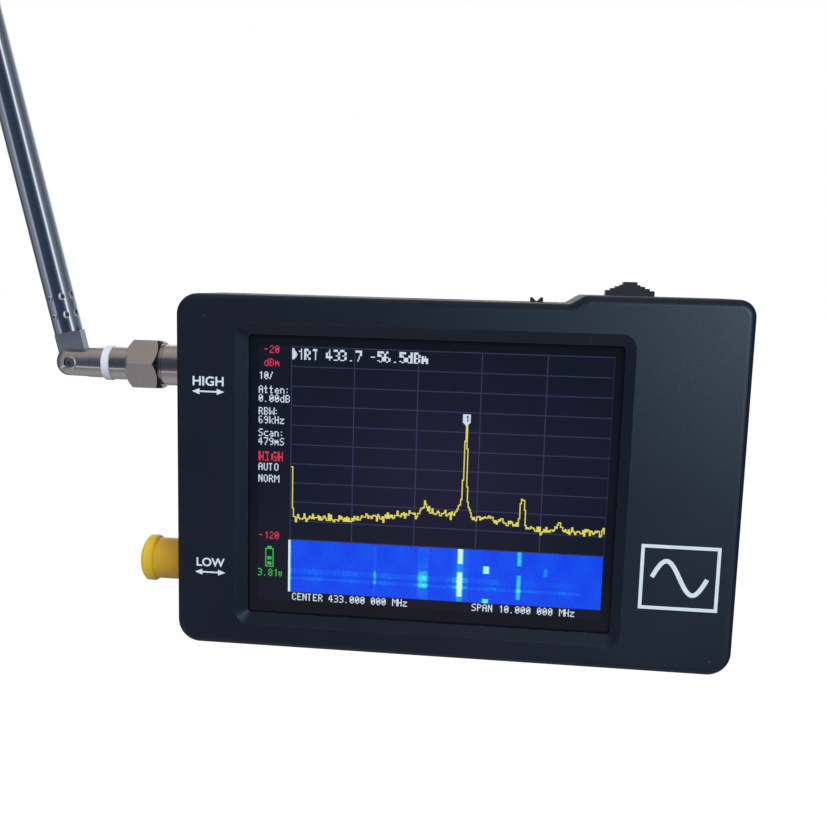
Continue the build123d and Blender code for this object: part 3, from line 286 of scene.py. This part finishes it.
FINISH = {
    "case_plastic": dict(base=lin(7, 17, 28), rough=0.43, dust=0.55, specular=0.36, grain=4200.0,
                         blotch=45.0, bump=0.012, wear=0.55, wear_colour=lin(70, 80, 92),
                         wear_radius=0.22),
    "screw_steel": dict(base=(0.32, 0.32, 0.33), rough=0.32, metallic=1.0, bump=0.003, wear=0.5,
                        wear_colour=(0.6, 0.6, 0.62), vary=0.15),
    "gasket_foam": dict(base=(0.012, 0.012, 0.013), rough=0.95, grain=6000.0, bump=0.04, vary=0.2,
                        pits=0.8),
    "touch_glass": dict(base=lin(17, 22, 31), rough=0.10, grain=700.0, blotch=60.0,
                        rough_vary=0.03, bump=0.0002, vary=0.05),
    "display_glass": dict(base=(0.05, 0.055, 0.06), rough=0.06, rough_vary=0.03, bump=0.0003,
                          vary=0.05),
    "light_white": dict(base=(0.80, 0.81, 0.82), rough=0.25, rough_vary=0.06, bump=0.002,
                        vary=0.03, pits=0.5),
    "tray_white": dict(base=(0.62, 0.63, 0.63), rough=0.5, bump=0.006, vary=0.05),
    "tape": dict(base=(0.035, 0.035, 0.037), rough=0.7, grain=1800.0, bump=0.02, vary=0.15),
    "ribbon": dict(base=(0.46, 0.20, 0.035), rough=0.35, bump=0.004, vary=0.12, streak=ALONG_XY),
    "board": dict(base=(0.012, 0.055, 0.028), rough=0.38, grain=1500.0, bump=0.006, vary=0.18,
                  wear=0.3, wear_colour=(0.25, 0.23, 0.12)),
    "can_tin": dict(base=(0.62, 0.62, 0.60), rough=0.33, metallic=1.0, bump=0.004,
                    streak=ALONG_X),
    "chip_black": dict(base=(0.016, 0.016, 0.018), rough=0.62, vary=0.15),
    "lead_tin": dict(base=(0.66, 0.66, 0.64), rough=0.30, metallic=1.0, bump=0.003),
    "ceramic": dict(base=(0.42, 0.33, 0.22), rough=0.55, bump=0.006, vary=0.12),
    "led_clear": dict(base=(0.70, 0.72, 0.60), rough=0.25, bump=0.003, vary=0.06, subsurface=0.3),
    "usb_steel": dict(base=(0.55, 0.56, 0.57), rough=0.28, metallic=1.0, bump=0.003, wear=0.4,
                      wear_colour=(0.8, 0.8, 0.8), streak=ALONG_X),
    "black_moulding": dict(base=(0.014, 0.014, 0.015), rough=0.5, bump=0.008, vary=0.12),
    "pouch": dict(base=(0.46, 0.48, 0.52), rough=0.42, metallic=0.75, grain=900.0, bump=0.02),
    "white_moulding": dict(base=(0.70, 0.68, 0.62), rough=0.45, bump=0.006, vary=0.06),
    "lead_wire": dict(base=(0.42, 0.015, 0.012), rough=0.42, bump=0.004, vary=0.12),
    "control_black": dict(base=lin(45, 53, 62), rough=0.50, vary=0.12, wear=0.5,
                          wear_colour=lin(95, 97, 100), wear_radius=0.15),
    "pin_steel": dict(base=(0.52, 0.52, 0.53), rough=0.25, metallic=1.0, bump=0.002),
    "gold": dict(base=(0.86, 0.60, 0.22), rough=0.24, metallic=1.0, bump=0.002, vary=0.08),
    "ptfe": dict(base=(0.70, 0.73, 0.83), rough=0.42, bump=0.004, vary=0.04, subsurface=0.2),
    # the cap's two tints paint light on its outer end and the case's shade on the rest
    "cap_yellow": dict(base=lin(206, 163, 38), rough=0.36, grain=2000.0, bump=0.004, vary=0.07,
                       rough_vary=0.08, wear=0.3, wear_colour=lin(235, 200, 110),
                       wear_radius=0.2, subsurface=0.25,
                       end_light_and_case_shade=((1.22, 1.42, 1.0), (0.93, 0.87, 1.0))),
    "nickel": dict(base=(0.62, 0.595, 0.575), rough=0.17, metallic=1.0, grain=3000.0,
                   blotch=220.0, bump=0.0022, vary=0.07, rough_vary=0.07, wear=0.5,
                   wear_colour=(0.85, 0.84, 0.83), wear_radius=0.15, streak=ACROSS_X),
    "mast_chrome": dict(base=(0.76, 0.78, 0.81), rough=0.085, metallic=1.0, grain=1600.0,
                        blotch=140.0, bump=0.0006, vary=0.04, rough_vary=0.035,
                        streak=ALONG_MAST),
    "spring_bronze": dict(base=(0.72, 0.45, 0.22), rough=0.28, metallic=1.0, bump=0.002),
}
MATERIALS = {slot: material("finish_" + slot, **spec) for slot, spec in FINISH.items()}


def set_material(obj, finish):
    obj.data.materials.clear()
    obj.data.materials.append(finish)


for node in NODES.values():
    slot_name = node.data.materials[0].name.split(".")[0]
    set_material(node, MATERIALS[slot_name])

# the flat tang is filed, not polished
set_material(NODES["mast_tang"], material(
    "finish_tang", base=(0.60, 0.62, 0.64), rough=0.38, metallic=1.0, grain=3000.0, blotch=260.0,
    bump=0.003, vary=0.08, rough_vary=0.08, wear=0.5, wear_colour=(0.85, 0.86, 0.88),
    wear_radius=0.15, streak=ACROSS_X))


# ---------------------------------------------------------------------------
# Screen picture: the display's own 320 x 240 dots, row 0 at the top, sRGB 0..255
# ---------------------------------------------------------------------------

LCD_W, LCD_H = 320, 240
BACKGROUND = (11, 17, 30)
GRID = (45, 52, 80)
GRID_END = (27, 33, 54)     # the last upright line is dimmer
WHITE = (208, 222, 238)
RED = (212, 54, 76)
GREEN = (54, 190, 78)
YELLOW = (228, 219, 84)
FLAG_INK = (15, 21, 33)

# seven rows a glyph, top row first
GLYPHS = {
    "0": ".##. #..# #.## #### ##.# #..# .##.", "1": ".# ## .# .# .# .# .#",
    "2": ".##. #..# ...# ..#. .#.. #... ####", "3": "###. ...# ...# .##. ...# ...# ###.",
    "4": "..#. .##. #.#. #.#. #### ..#. ..#.", "5": "#### #... ###. ...# ...# #..# .##.",
    "6": ".##. #... #... ###. #..# #..# .##.", "7": "#### ...# ...# ..#. ..#. .#.. .#..",
    "8": ".##. #..# #..# .##. #..# #..# .##.", "9": ".##. #..# #..# .### ...# ...# .##.",
    "-": "... ... ... ### ... ... ...", ".": ". . . . . . #", ":": ". . # . . # .",
    "/": "..# ..# .#. .#. .#. #.. #..", " ": "... ... ... ... ... ... ...",
    "d": "...# ...# .### #..# #..# #..# .###", "B": "###. #..# #..# ###. #..# #..# ###.",
    "m": ".... .... #.#. #### #### #..# #..#", "A": ".##. #..# #..# #### #..# #..# #..#",
    "t": ".#. .#. ### .#. .#. .#. .##", "e": ".... .... .##. #..# #### #... .###",
    "n": ".... .... ###. #..# #..# #..# #..#", "R": "###. #..# #..# ###. #.#. #..# #..#",
    "W": "#...# #...# #...# #.#.# #.#.# ##.## #...#", "k": "#... #... #..# #.#. ##.. #.#. #..#",
    "H": "#..# #..# #..# #### #..# #..# #..#", "z": ".... .... #### ..#. .#.. #... ####",
    "S": ".### #... #... .##. ...# ...# ###.", "c": ".... .... .### #... #... #... .###",
    "a": ".... .... .##. ...# .### #..# .###", "v": "... ... #.# #.# #.# #.# .#.",
    "I": "### .#. .#. .#. .#. .#. ###", "G": ".### #... #... #.## #..# #..# .###",
    "T": "### .#. .#. .#. .#. .#. .#.", "U": "#..# #..# #..# #..# #..# #..# .##.",
    "O": ".##. #..# #..# #..# #..# #..# .##.", "N": "#..# ##.# ##.# #.## #.## #..# #..#",
    "C": ".##. #..# #... #... #... #..# .##.", "E": "#### #... #... ###. #... #... ####",
    "P": "###. #..# #..# ###. #... #... #...", "M": "#...# ##.## #.#.# #.#.# #...# #...# #...#",
    ">": "#... ##.. ###. #### ###. ##.. #...",
}
# how many dots each of a glyph's four columns takes
SMALL = (1, 1, 1, 1)
BOLD = (2, 1, 1, 1)
LARGE = (2, 1, 1, 2)

screen = np.zeros((LCD_H, LCD_W, 3))
screen[:] = BACKGROUND


def write(text, x, y, colour, height=7, columns=SMALL, advance=5):
    """Puts fixed-pitch text with its top left at column x, row y."""
    for n, letter in enumerate(text):
        rows = GLYPHS[letter].split(" ")
        count = len(rows[0])
        spread = []
        for i in range(count):
            spread += [i] * (columns[i] if count <= 4 else 1)
        pen = int(x + n * advance + max(0, (sum(columns) - len(spread)) // 2))
        for j in range(height):
            row = rows[j * 7 // height]
            for k, i in enumerate(spread):
                if row[i] == "#":
                    screen[y + j, pen + k] = colour


PLOT_LEFT, PLOT_BOTTOM = 30, 181     # the waterfall starts at the plot's bottom row


def draw_grid():
    """Five divisions across, ten down."""
    for k in range(6):
        column = round(PLOT_LEFT + 57.8 * k)
        screen[1:PLOT_BOTTOM, column] = GRID if k < 5 else GRID_END
    for k in range(11):
        screen[18 * k, PLOT_LEFT:LCD_W] = GRID


TRACE_FLOOR = 158.5     # row of the quiet line
# height in rows, centre column, half width, power (4 gives a flat top)
PEAKS = (
    (11.0, 155.5, 4.2, 2), (3.5, 172, 9.0, 2), (12.0, 190.5, 6.5, 4),
    (77.5, 190.9, 1.7, 2), (27.0, 243.8, 2.7, 4), (7.5, 277, 3.0, 2),
)


def trace_row(x):
    """Row of the measured line at column x, before noise."""
    row = TRACE_FLOOR
    if x > 80:
        # a low swell that rises over 60 columns and ends over 20
        fall = 1.0 if x < 225 else max(0.0, 1 - (x - 225) / 20.0)
        row -= 8.0 * min(1.0, (x - 80) / 60.0) * fall
    for height, centre, width, power in PEAKS:
        row -= height * math.exp(-((x - centre) / width) ** power)
    return row


def draw_trace(random_source):
    first = PLOT_LEFT + 1
    rows = []
    for x in range(first, LCD_W - 1):
        jitter = random_source.normal(0.0, 1.8)
        if 183 < x < 198 or 239 < x < 249:
            # the strong peaks are steadier
            jitter *= 0.25
        rows.append(trace_row(x) + jitter)
    # the line drops from a start well above its floor
    rows[:2] = [111.0, 150.0]
    last = rows[0]
    for x, row in enumerate(rows, first):
        top, bottom = sorted((last, row))
        screen[round(top):round(bottom) + 1, x] = YELLOW
        last = row


WATER_LEFT, WATER_W, WATER_H = 29, 290, 50
# first and last column, first and last row, added strength
WATER_BANDS = (
    (29, 30.6, 181, 230, 1.0), (110, 112, 183, 228, 0.16), (110, 112, 206, 218, 0.20),
    (151, 161, 181, 230, 0.16), (152, 160, 204, 219, 0.18), (183, 198, 181, 230, 0.13),
    (187, 193, 181, 230, 0.16), (188.5, 192, 181, 194, 0.80), (188.5, 192, 203, 225, 0.80),
    (211, 217, 196, 202, 0.66), (211, 217, 227, 230, 0.60), (242.5, 246, 181, 193, 0.46),
    (242.5, 246, 203, 225, 0.42), (266, 270, 196, 202, 0.26), (29, 226, 208, 212, 0.13),
    (226, 300, 208, 212, 0.05), (29, 300, 216, 218, 0.15),
)
# strength and the colour shown there
WATER_BASE = 0.30
WATER_LEVELS = (0.0, 0.45, 0.85, 1.0)
WATER_COLOURS = ((1, 38, 232), (6, 90, 248), (66, 240, 250), (216, 252, 210))


def draw_waterfall(random_source):
    x = (np.arange(WATER_W) + WATER_LEFT + 0.5)[None, :]
    y = (np.arange(WATER_H) + PLOT_BOTTOM)[:, None]
    water = 0.05 * np.sin(x * 0.19 + 0.7) * np.sin(y * 0.11)
    for x0, x1, y0, y1, amount in WATER_BANDS:
        water[(x >= x0) & (x <= x1) & (y >= y0) & (y <= y1)] += amount
    # the columns run softly into each other, and every dot drifts a little
    padded = np.pad(water, ((0, 0), (1, 1)), mode="edge")
    water = 0.22 * padded[:, :-2] + 0.56 * padded[:, 1:-1] + 0.22 * padded[:, 2:]
    water += random_source.normal(0.0, 0.030, water.shape)
    channels = [np.interp(WATER_BASE + water, WATER_LEVELS, channel)
                for channel in zip(*WATER_COLOURS)]
    screen[PLOT_BOTTOM:PLOT_BOTTOM + WATER_H,
           WATER_LEFT:WATER_LEFT + WATER_W] = np.stack(channels, -1)


# text, column, row, colour
SMALL_TEXTS = (
    ("-20", 5, 0, RED), ("dBm", 5, 12, RED), ("10/", 0, 24, WHITE), ("Atten:", 0, 37, WHITE),
    ("0.00dB", 0, 45, WHITE), ("RBW:", 0, 57, WHITE), ("69kHz", 0, 65, WHITE),
    ("Scan:", 0, 77, WHITE), ("479mS", 0, 85, WHITE), ("AUTO", 0, 109, WHITE),
    ("NORM", 0, 120, WHITE), ("-120", 1, 174, RED), ("3.81v", 0, 210, GREEN),
    ("CENTER 433.000 000 MHz", 33, 232, WHITE), ("SPAN 10.000 000 MHz", 202, 232, WHITE),
)
# row start and end, column start and end, colour
BLOCKS = (
    # battery: shell, hollow, two bars, tip
    (190, 208, 7, 15, GREEN), (191, 207, 8, 14, BACKGROUND), (198, 201, 9, 13, GREEN),
    (203, 206, 9, 13, GREEN), (188, 190, 9, 13, GREEN),
    # marker flag, pointed at the bottom
    (56, 64, 188, 195, WHITE), (64, 65, 189, 194, WHITE), (65, 66, 190, 193, WHITE),
    (66, 67, 191, 192, WHITE),
)


def draw_labels():
    for text, x, y, colour in SMALL_TEXTS:
        write(text, x, y, colour)
    for y0, y1, x0, x1, colour in BLOCKS:
        screen[y0:y1, x0:x1] = colour
    write("HIGH", 0, 98, RED, height=9, columns=BOLD, advance=6)
    write(">", 31, 2, WHITE, height=10, columns=BOLD)
    write("1RT 433.7 -56.5dBm", 36, 2, WHITE, height=10, columns=LARGE, advance=6.65)
    write("1", 190, 57, FLAG_INK, height=6)


picture_noise = np.random.default_rng(20433)
draw_grid()
draw_trace(picture_noise)
draw_waterfall(picture_noise)
draw_labels()


# ---------------------------------------------------------------------------
# Screen film: one small face a dot, just in front of the touch panel
# ---------------------------------------------------------------------------

touch_lo, touch_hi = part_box("touch_panel")
FILM_FRONT = touch_lo.y - 0.03 * MM
FILM_BACK = touch_lo.y - 0.002 * MM
# the active area, from the touch panel's left and top edges
ACTIVE_X0 = touch_lo.x + 3.254 * MM
ACTIVE_X1 = ACTIVE_X0 + 57.056 * MM
ACTIVE_Z1 = touch_hi.z - 3.581 * MM
ACTIVE_Z0 = ACTIVE_Z1 - 42.79 * MM


def display_mesh():
    dot_w = (ACTIVE_X1 - ACTIVE_X0) / LCD_W
    dot_h = (ACTIVE_Z1 - ACTIVE_Z0) / LCD_H
    column, row = np.meshgrid(np.arange(LCD_W + 1), np.arange(LCD_H + 1))
    front = np.stack([ACTIVE_X0 + column * dot_w, np.full(column.shape, FILM_FRONT),
                      ACTIVE_Z1 - row * dot_h], -1).reshape(-1, 3)
    back = [(x, FILM_BACK, z) for x, z in ((ACTIVE_X0, ACTIVE_Z1), (ACTIVE_X1, ACTIVE_Z1),
                                           (ACTIVE_X1, ACTIVE_Z0), (ACTIVE_X0, ACTIVE_Z0))]
    index = np.arange(len(front)).reshape(LCD_H + 1, LCD_W + 1)
    dots = np.stack([index[:-1, :-1], index[1:, :-1], index[1:, 1:], index[:-1, 1:]], -1)
    faces = dots.reshape(-1, 4).tolist()
    # a back sheet and a rim close it into a thin film
    b0, b1, b2, b3 = range(len(front), len(front) + 4)
    faces += [
        [b0, b1, b2, b3],
        index[0].tolist() + [b1, b0],
        index[:, -1].tolist() + [b2, b1],
        index[-1, ::-1].tolist() + [b3, b2],
        index[::-1, 0].tolist() + [b0, b3],
    ]
    mesh = bpy.data.meshes.new("display_image")
    mesh.from_pydata(front.tolist() + back, [], faces)
    mesh.update()
    colours = np.repeat(to_linear(screen).reshape(-1, 3), 4, axis=0)
    corners = np.zeros((len(mesh.loops), 4), np.float32)
    corners[:, 3] = 1
    corners[:len(colours), :3] = colours
    layer = mesh.color_attributes.new(name="picture", type="FLOAT_COLOR", domain="CORNER")
    layer.data.foreach_set("color", corners.ravel())
    return mesh


def display_material():
    """The picture glows under lightly smeared dark glass; the smears get a painted sheen, a faint
    blue glow mixed into the picture.
    """
    made, net, surface = principled_material("finish_display_image")
    at = net.coordinates("Object")
    picture = net.node("ShaderNodeAttribute", attribute_name="picture").outputs["Color"]
    smear = net.noise(net.mapping(at, scale=(60.0, 60.0, 130.0), rotation=(0, 0.5, 0)),
                      scale=1.0, detail=4.0, rough=0.6)
    # painted sheen: the smeared patches add a faint blue glow
    painted_smear_sheen = net.span(smear, start=0.2, end=0.8, low=0.0, high=0.06)
    ripple = net.noise(at, scale=900.0, detail=3.0, rough=0.5)
    relief = net.node("ShaderNodeBump", {"Distance": 0.0003 * MM, "Height": ripple})
    net.fill(surface, {
        "Base Color": net.mix(0.94, picture, (0.003, 0.004, 0.007, 1)),
        "Roughness": net.span(smear, start=0.3, end=0.75, low=0.09, high=0.16),
        "Emission Color": net.mix(painted_smear_sheen, picture, (0.02, 0.03, 0.06, 1)),
        "Emission Strength": 0.92,
        "Normal": relief.outputs[0],
    })
    return made


display = add_object("display_image", display_mesh())
display.data.materials.append(display_material())
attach(display, "case")


# ---------------------------------------------------------------------------
# Printed legends on the front face; outlines are (x, z) in mm, counter-clockwise
# ---------------------------------------------------------------------------

FACE_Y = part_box("front_shell")[0].y
PRINT_FRONT = 0.025 * MM     # how far the print stands proud of the face
PRINT_SUNK = 0.002 * MM      # how far its back lies inside the face
print_finish = material(
    "finish_print", base=lin(214, 231, 240), rough=0.55, grain=5200.0, blotch=600.0, vary=0.07,
    rough_vary=0.12, bump=0.004, wear=0.25, wear_colour=lin(150, 158, 172), wear_radius=0.05)


def add_print(name, mesh):
    obj = add_object(name, mesh)
    set_material(obj, print_finish)
    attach(obj, "case")


def print_piece(name, outlines):
    """A thin raised print from flat outlines."""
    bm = bmesh.new()
    for outline in outlines:
        front = [bm.verts.new((x * MM, FACE_Y - PRINT_FRONT, z * MM)) for x, z in outline]
        back = [bm.verts.new((x * MM, FACE_Y + PRINT_SUNK, z * MM)) for x, z in outline]
        bm.faces.new(front)
        bm.faces.new(back[::-1])
        for i in range(len(outline)):
            k = (i + 1) % len(outline)
            bm.faces.new((front[i], back[i], back[k], front[k]))
    bmesh.ops.triangulate(bm, faces=[f for f in bm.faces if len(f.verts) > 4])
    mesh = bpy.data.meshes.new(name)
    bm.to_mesh(mesh)
    bm.free()
    add_print(name, mesh)


def legend(name, text, x0, x1, z0, z1):
    """Plain sans lettering fitted to a box in mm, as a thin raised print."""
    curve = bpy.data.curves.new(name + "_curve", "FONT")
    curve.body = text
    curve.size = 1.0
    curve.offset = 0.020
    curve.extrude = 0.5
    curve.resolution_u = 4
    holder = add_object(name + "_curve", curve)
    bpy.context.view_layer.update()
    depsgraph = bpy.context.evaluated_depsgraph_get()
    mesh = bpy.data.meshes.new_from_object(holder.evaluated_get(depsgraph))
    bpy.data.objects.remove(holder)
    bpy.data.curves.remove(curve)
    points = np.array([v.co for v in mesh.vertices], float).reshape(-1, 3)
    low, high = points.min(0), points.max(0)
    across, upward, forward = ((points - low) / (high - low)).T
    fitted = np.stack([(x0 + across * (x1 - x0)) * MM,
                       FACE_Y + PRINT_SUNK - forward * (PRINT_FRONT + PRINT_SUNK),
                       (z0 + upward * (z1 - z0)) * MM], -1)
    mesh.vertices.foreach_set("co", fitted.astype(np.float32).ravel())
    mesh.update()
    mesh.name = name
    for polygon in mesh.polygons:
        polygon.use_smooth = False
    add_print(name, mesh)


def rectangle(x0, z0, x1, z1):
    return [(x0, z0), (x1, z0), (x1, z1), (x0, z1)]


def double_arrow(x0, x1, z, half_line=0.13, head=1.25, half_head=0.50):
    return [[(x0, z), (x0 + head, z - half_head), (x0 + head, z + half_head)],
            [(x1, z), (x1 - head, z + half_head), (x1 - head, z - half_head)],
            rectangle(x0 + head, z - half_line, x1 - head, z + half_line)]


def ribbon(points, half_width):
    """Outline of a constant width along a line drawn from left to right."""
    upper, lower = [], []
    for i, (x, z) in enumerate(points):
        before = points[max(0, i - 1)]
        after = points[min(len(points) - 1, i + 1)]
        run, rise = after[0] - before[0], after[1] - before[1]
        length = math.hypot(run, rise)
        side_x, side_z = -rise / length * half_width, run / length * half_width
        upper.append((x + side_x, z + side_z))
        lower.append((x - side_x, z - side_z))
    return lower + upper[::-1]


legend("legend_high", "HIGH", x0=-42.65, x1=-37.49, z0=43.81, z1=45.36)
print_piece("arrow_high", double_arrow(x0=-42.77, x1=-37.40, z=42.88))
legend("legend_low", "LOW", x0=-42.12, x1=-37.33, z0=13.52, z1=15.00)
print_piece("arrow_low", double_arrow(x0=-42.40, x1=-37.20, z=12.55))

# badge at the lower right: one wave in a plain frame
BADGE_X0, BADGE_X1, BADGE_Z0, BADGE_Z1 = 30.39, 42.75, 10.76, 21.36
BADGE_LINE = 0.55
WAVE_MARGIN, WAVE_HEIGHT, WAVE_HALF_WIDTH, WAVE_STEPS = 1.9, 2.7, 0.36, 48
inner_z0, inner_z1 = BADGE_Z0 + BADGE_LINE, BADGE_Z1 - BADGE_LINE
wave_length = BADGE_X1 - BADGE_X0 - 2 * WAVE_MARGIN
wave = [(BADGE_X0 + WAVE_MARGIN + wave_length * t / WAVE_STEPS,
         (BADGE_Z0 + BADGE_Z1) / 2 + WAVE_HEIGHT * math.sin(2 * math.pi * t / WAVE_STEPS))
        for t in range(WAVE_STEPS + 1)]
print_piece("badge_frame", [
    rectangle(BADGE_X0, BADGE_Z0, BADGE_X1, inner_z0),
    rectangle(BADGE_X0, inner_z1, BADGE_X1, BADGE_Z1),
    rectangle(BADGE_X0, inner_z0, BADGE_X0 + BADGE_LINE, inner_z1),
    rectangle(BADGE_X1 - BADGE_LINE, inner_z0, BADGE_X1, inner_z1),
])
print_piece("badge_wave", [ribbon(wave, WAVE_HALF_WIDTH)])


# ---------------------------------------------------------------------------
# Studio: pale floor, soft light, and a surround seen only in reflections
# ---------------------------------------------------------------------------

FLOOR_RADII = (0.15, 0.4, 1.0, 2.5, 6.0)
FLOOR_SPOKES = 48
FLOOR_DROP = 0.080     # low enough that the mast can hang straight down beside the case


def floor_material():
    made, net, out = blank_material("studio_floor")
    matt = net.node("ShaderNodeBsdfDiffuse", {0: (0.86, 0.86, 0.86, 1)})
    glow = net.node("ShaderNodeEmission", {0: (1, 1, 1, 1), 1: 1.12})
    pale = net.mix_shaders(0.78, matt.outputs[0], glow.outputs[0])
    # open from underneath, so the bottom of the object can be seen
    gone = net.node("ShaderNodeBsdfTransparent")
    net.fill(out, {0: net.mix_shaders(net.geometry("Backfacing"), pale, gone.outputs[0])})
    return made


def build_floor():
    verts, faces = [(0, 0, 0)], []
    for radius in FLOOR_RADII:
        for s in range(FLOOR_SPOKES):
            angle = 2 * math.pi * s / FLOOR_SPOKES
            verts.append((radius * math.cos(angle), radius * math.sin(angle), 0))
    for s in range(FLOOR_SPOKES):
        faces.append((0, 1 + s, 1 + (s + 1) % FLOOR_SPOKES))
    for k in range(len(FLOOR_RADII) - 1):
        inner, outer = 1 + k * FLOOR_SPOKES, 1 + (k + 1) * FLOOR_SPOKES
        for s in range(FLOOR_SPOKES):
            t = (s + 1) % FLOOR_SPOKES
            faces.append((inner + s, outer + s, outer + t, inner + t))
    mesh = bpy.data.meshes.new("studio_floor")
    mesh.from_pydata(verts, [], faces)
    floor = add_object("studio_floor", mesh)
    floor.location = (0, 0, CAD_BOX[0].z - FLOOR_DROP)
    mesh.materials.append(floor_material())
    floor.visible_glossy = False
    floor.visible_diffuse = False


def band(r, g, b):
    """Strength of the surround that a metal of 0.79 reflectance shows as this colour."""
    return tuple(c / 0.79 for c in lin(r, g, b))


# Bearing in degrees, 0 at the front (-Y) and growing to the right, and the colour there
SURROUND_TURN = -2.8     # added to every bearing before the table is read
SURROUND = (
    (-180, (1.1, 1.1, 1.1)), (-160, (1.0, 1.0, 1.0)), (-150, (0.45, 0.45, 0.46)),
    (-130, (0.16, 0.16, 0.17)), (-104, band(64, 64, 72)), (-86, band(106, 108, 120)),
    (-60, band(112, 117, 132)), (-46, band(152, 160, 178)), (-37, band(118, 125, 141)),
    (-32, band(78, 84, 98)), (-27, band(56, 62, 76)), (-18, band(50, 58, 74)),
    (-4, band(44, 53, 70)), (14, band(38, 50, 66)), (27, band(46, 57, 73)),
    (37, band(76, 85, 100)), (45, band(112, 122, 136)), (49, band(220, 228, 236)),
    (60, band(226, 234, 242)), (65, band(122, 130, 141)), (80, band(92, 100, 112)),
    (95, band(72, 83, 96)), (112, band(80, 90, 102)), (131, band(108, 117, 127)),
    (148, band(138, 147, 156)), (160, (0.55, 0.56, 0.58)), (170, (1.0, 1.0, 1.0)),
    (180, (1.1, 1.1, 1.1)),
)


def surround(net, bearing, rise):
    """Bands all round, closed by a plain top and bottom."""
    around = net.ramp(net.maths("MULTIPLY_ADD", bearing, 1 / 360.0, 0.5 + SURROUND_TURN / 360.0),
                      [((angle + 180) / 360.0, colour) for angle, colour in SURROUND])
    top = net.mix(net.span(rise, start=50, end=82),
                  (0.330, 0.300, 0.290, 1), (0.56, 0.50, 0.50, 1))
    low = net.mix(net.span(rise, start=-40, end=-75),
                  (0.245, 0.235, 0.255, 1), (0.46, 0.455, 0.49, 1))
    seen = net.mix(net.span(rise, start=34, end=50, smooth=True), around, top)
    return net.mix(net.span(rise, start=-22, end=-38, smooth=True), seen, low)


def violet_card(net, bearing, rise):
    """Mask of a soft round card in front of the screen."""
    across = net.offset(bearing, centre=-3.4, width=7.6)
    upward = net.offset(rise, centre=-11.6, width=4.6)
    return net.bell(net.maths("ADD", net.product(across, across), net.product(upward, upward)))


def warm_patch(net, bearing, rise):
    """Mask of a patch low in front, its top edge falling to the right."""
    top_edge = net.maths("MULTIPLY_ADD", bearing, -0.12, -16.6)
    above = net.maths("SUBTRACT", rise, top_edge)
    tall = net.product(net.span(above, start=0.8, end=-0.8), net.span(rise, start=-34.0, end=-27.0))
    wide = net.product(net.span(bearing, start=-22.0, end=-19.5),
                       net.span(bearing, start=16.0, end=12.0))
    return net.product(tall, wide)


def low_strip(net, bearing, rise):
    """Mask of a thin strip low on the left, for the round fittings."""
    wide = net.product(net.span(bearing, start=-19.0, end=-24.0),
                       net.span(bearing, start=-110.0, end=-80.0))
    upward = net.offset(rise, centre=-31.0, width=3.0)
    return net.product(wide, net.bell(net.product(upward, upward)))


def build_world():
    world = bpy.data.worlds.new("studio")
    bpy.context.scene.world = world
    world.use_nodes = True
    net = Net(world.node_tree)
    out = net.node("ShaderNodeOutputWorld")
    x, y, z = net.xyz(net.coordinates("Generated"))
    degrees = 180 / math.pi
    bearing = net.product(net.maths("ARCTAN2", x, net.product(y, -1.0)), degrees)
    rise = net.product(net.maths("ARCSINE", z), degrees)
    seen = surround(net, bearing, rise)
    for mask, colour in ((violet_card, (0.30, 0.14, 0.48, 1)),
                         (warm_patch, (0.15, 0.085, 0.065, 1)),
                         (low_strip, (0.75, 0.75, 0.78, 1))):
        seen = net.mix(mask(net, bearing, rise), seen, colour, "ADD")
    # soft ambient for matt surfaces: brighter from above and from the right
    lift = net.maths("MULTIPLY_ADD", z, 0.22, 0.62)
    lift = net.maths("MULTIPLY_ADD", x, 0.12, lift)
    white = (1.0, 1.0, 1.0, 1)
    soft = net.mix(1.0, white, lift, "MULTIPLY")
    path = net.node("ShaderNodeLightPath")
    shown = net.mix(path.outputs["Is Glossy Ray"], soft, seen)
    shown = net.mix(path.outputs["Is Camera Ray"], shown, white)
    back = net.node("ShaderNodeBackground", {0: shown, 1: 1.0})
    net.fill(out, {0: back.outputs[0]})
    world.cycles.sampling_method = "MANUAL"
    world.cycles.sample_map_resolution = 512


def area_light(name, at, towards, size, power, colour, glossy=False):
    data = bpy.data.lights.new(name, "AREA")
    data.shape = "RECTANGLE"
    data.size, data.size_y = size
    data.energy = power
    data.color = colour
    lamp = add_object(name, data)
    lamp.location = at
    lamp.rotation_mode = "QUATERNION"
    lamp.rotation_quaternion = (Vector(towards) - Vector(at)).to_track_quat("-Z", "Y")
    lamp.visible_glossy = glossy
    lamp.visible_camera = False
    return lamp


def build_lights():
    middle = (0, 0, 0.04)
    area_light("key", at=(0.55, -0.75, 0.75), towards=middle, size=(0.7, 0.7), power=6.0,
               colour=(1.0, 0.985, 0.96))
    area_light("fill", at=(-0.8, -0.5, 0.35), towards=middle, size=(0.8, 0.6), power=2.0,
               colour=(0.93, 0.96, 1.0))
    # a small soft card at the front right gives the matt case its glare; it lights the case alone
    glare = area_light("glare", at=(0.287, -0.551, 0.143), towards=(0.045, -0.0085, 0.06),
                       size=(0.15, 0.15), power=2.15, colour=(0.72, 1.0, 1.25), glossy=True)
    glared = bpy.data.collections.new("glared")
    for name in ("front_shell", "rear_shell"):
        glared.objects.link(NODES[name])
    glare.light_linking.receiver_collection = glared


def build_camera():
    data = bpy.data.cameras.new("camera")
    data.lens = 40.896
    data.sensor_width = 36.0
    data.clip_start, data.clip_end = 0.005, 30.0
    right = (0.99431805, 0.10289823, 0.02726850)
    up = (-0.04092316, 0.13301991, 0.99026815)
    backward = (0.09826959, -0.98575740, 0.13647501)
    pose = Matrix((right, up, backward)).transposed().to_4x4()
    pose.translation = (0.00815813, -0.15591500, 0.06114196)
    camera = bpy.data.objects.new("camera", data)
    camera.matrix_world = pose
    bpy.context.scene.collection.objects.link(camera)
    bpy.context.scene.camera = camera


build_floor()
build_world()
build_lights()
build_camera()

view = bpy.context.scene.view_settings
view.view_transform = "Standard"
view.look = "None"
view.exposure = 0.0
view.gamma = 1.0
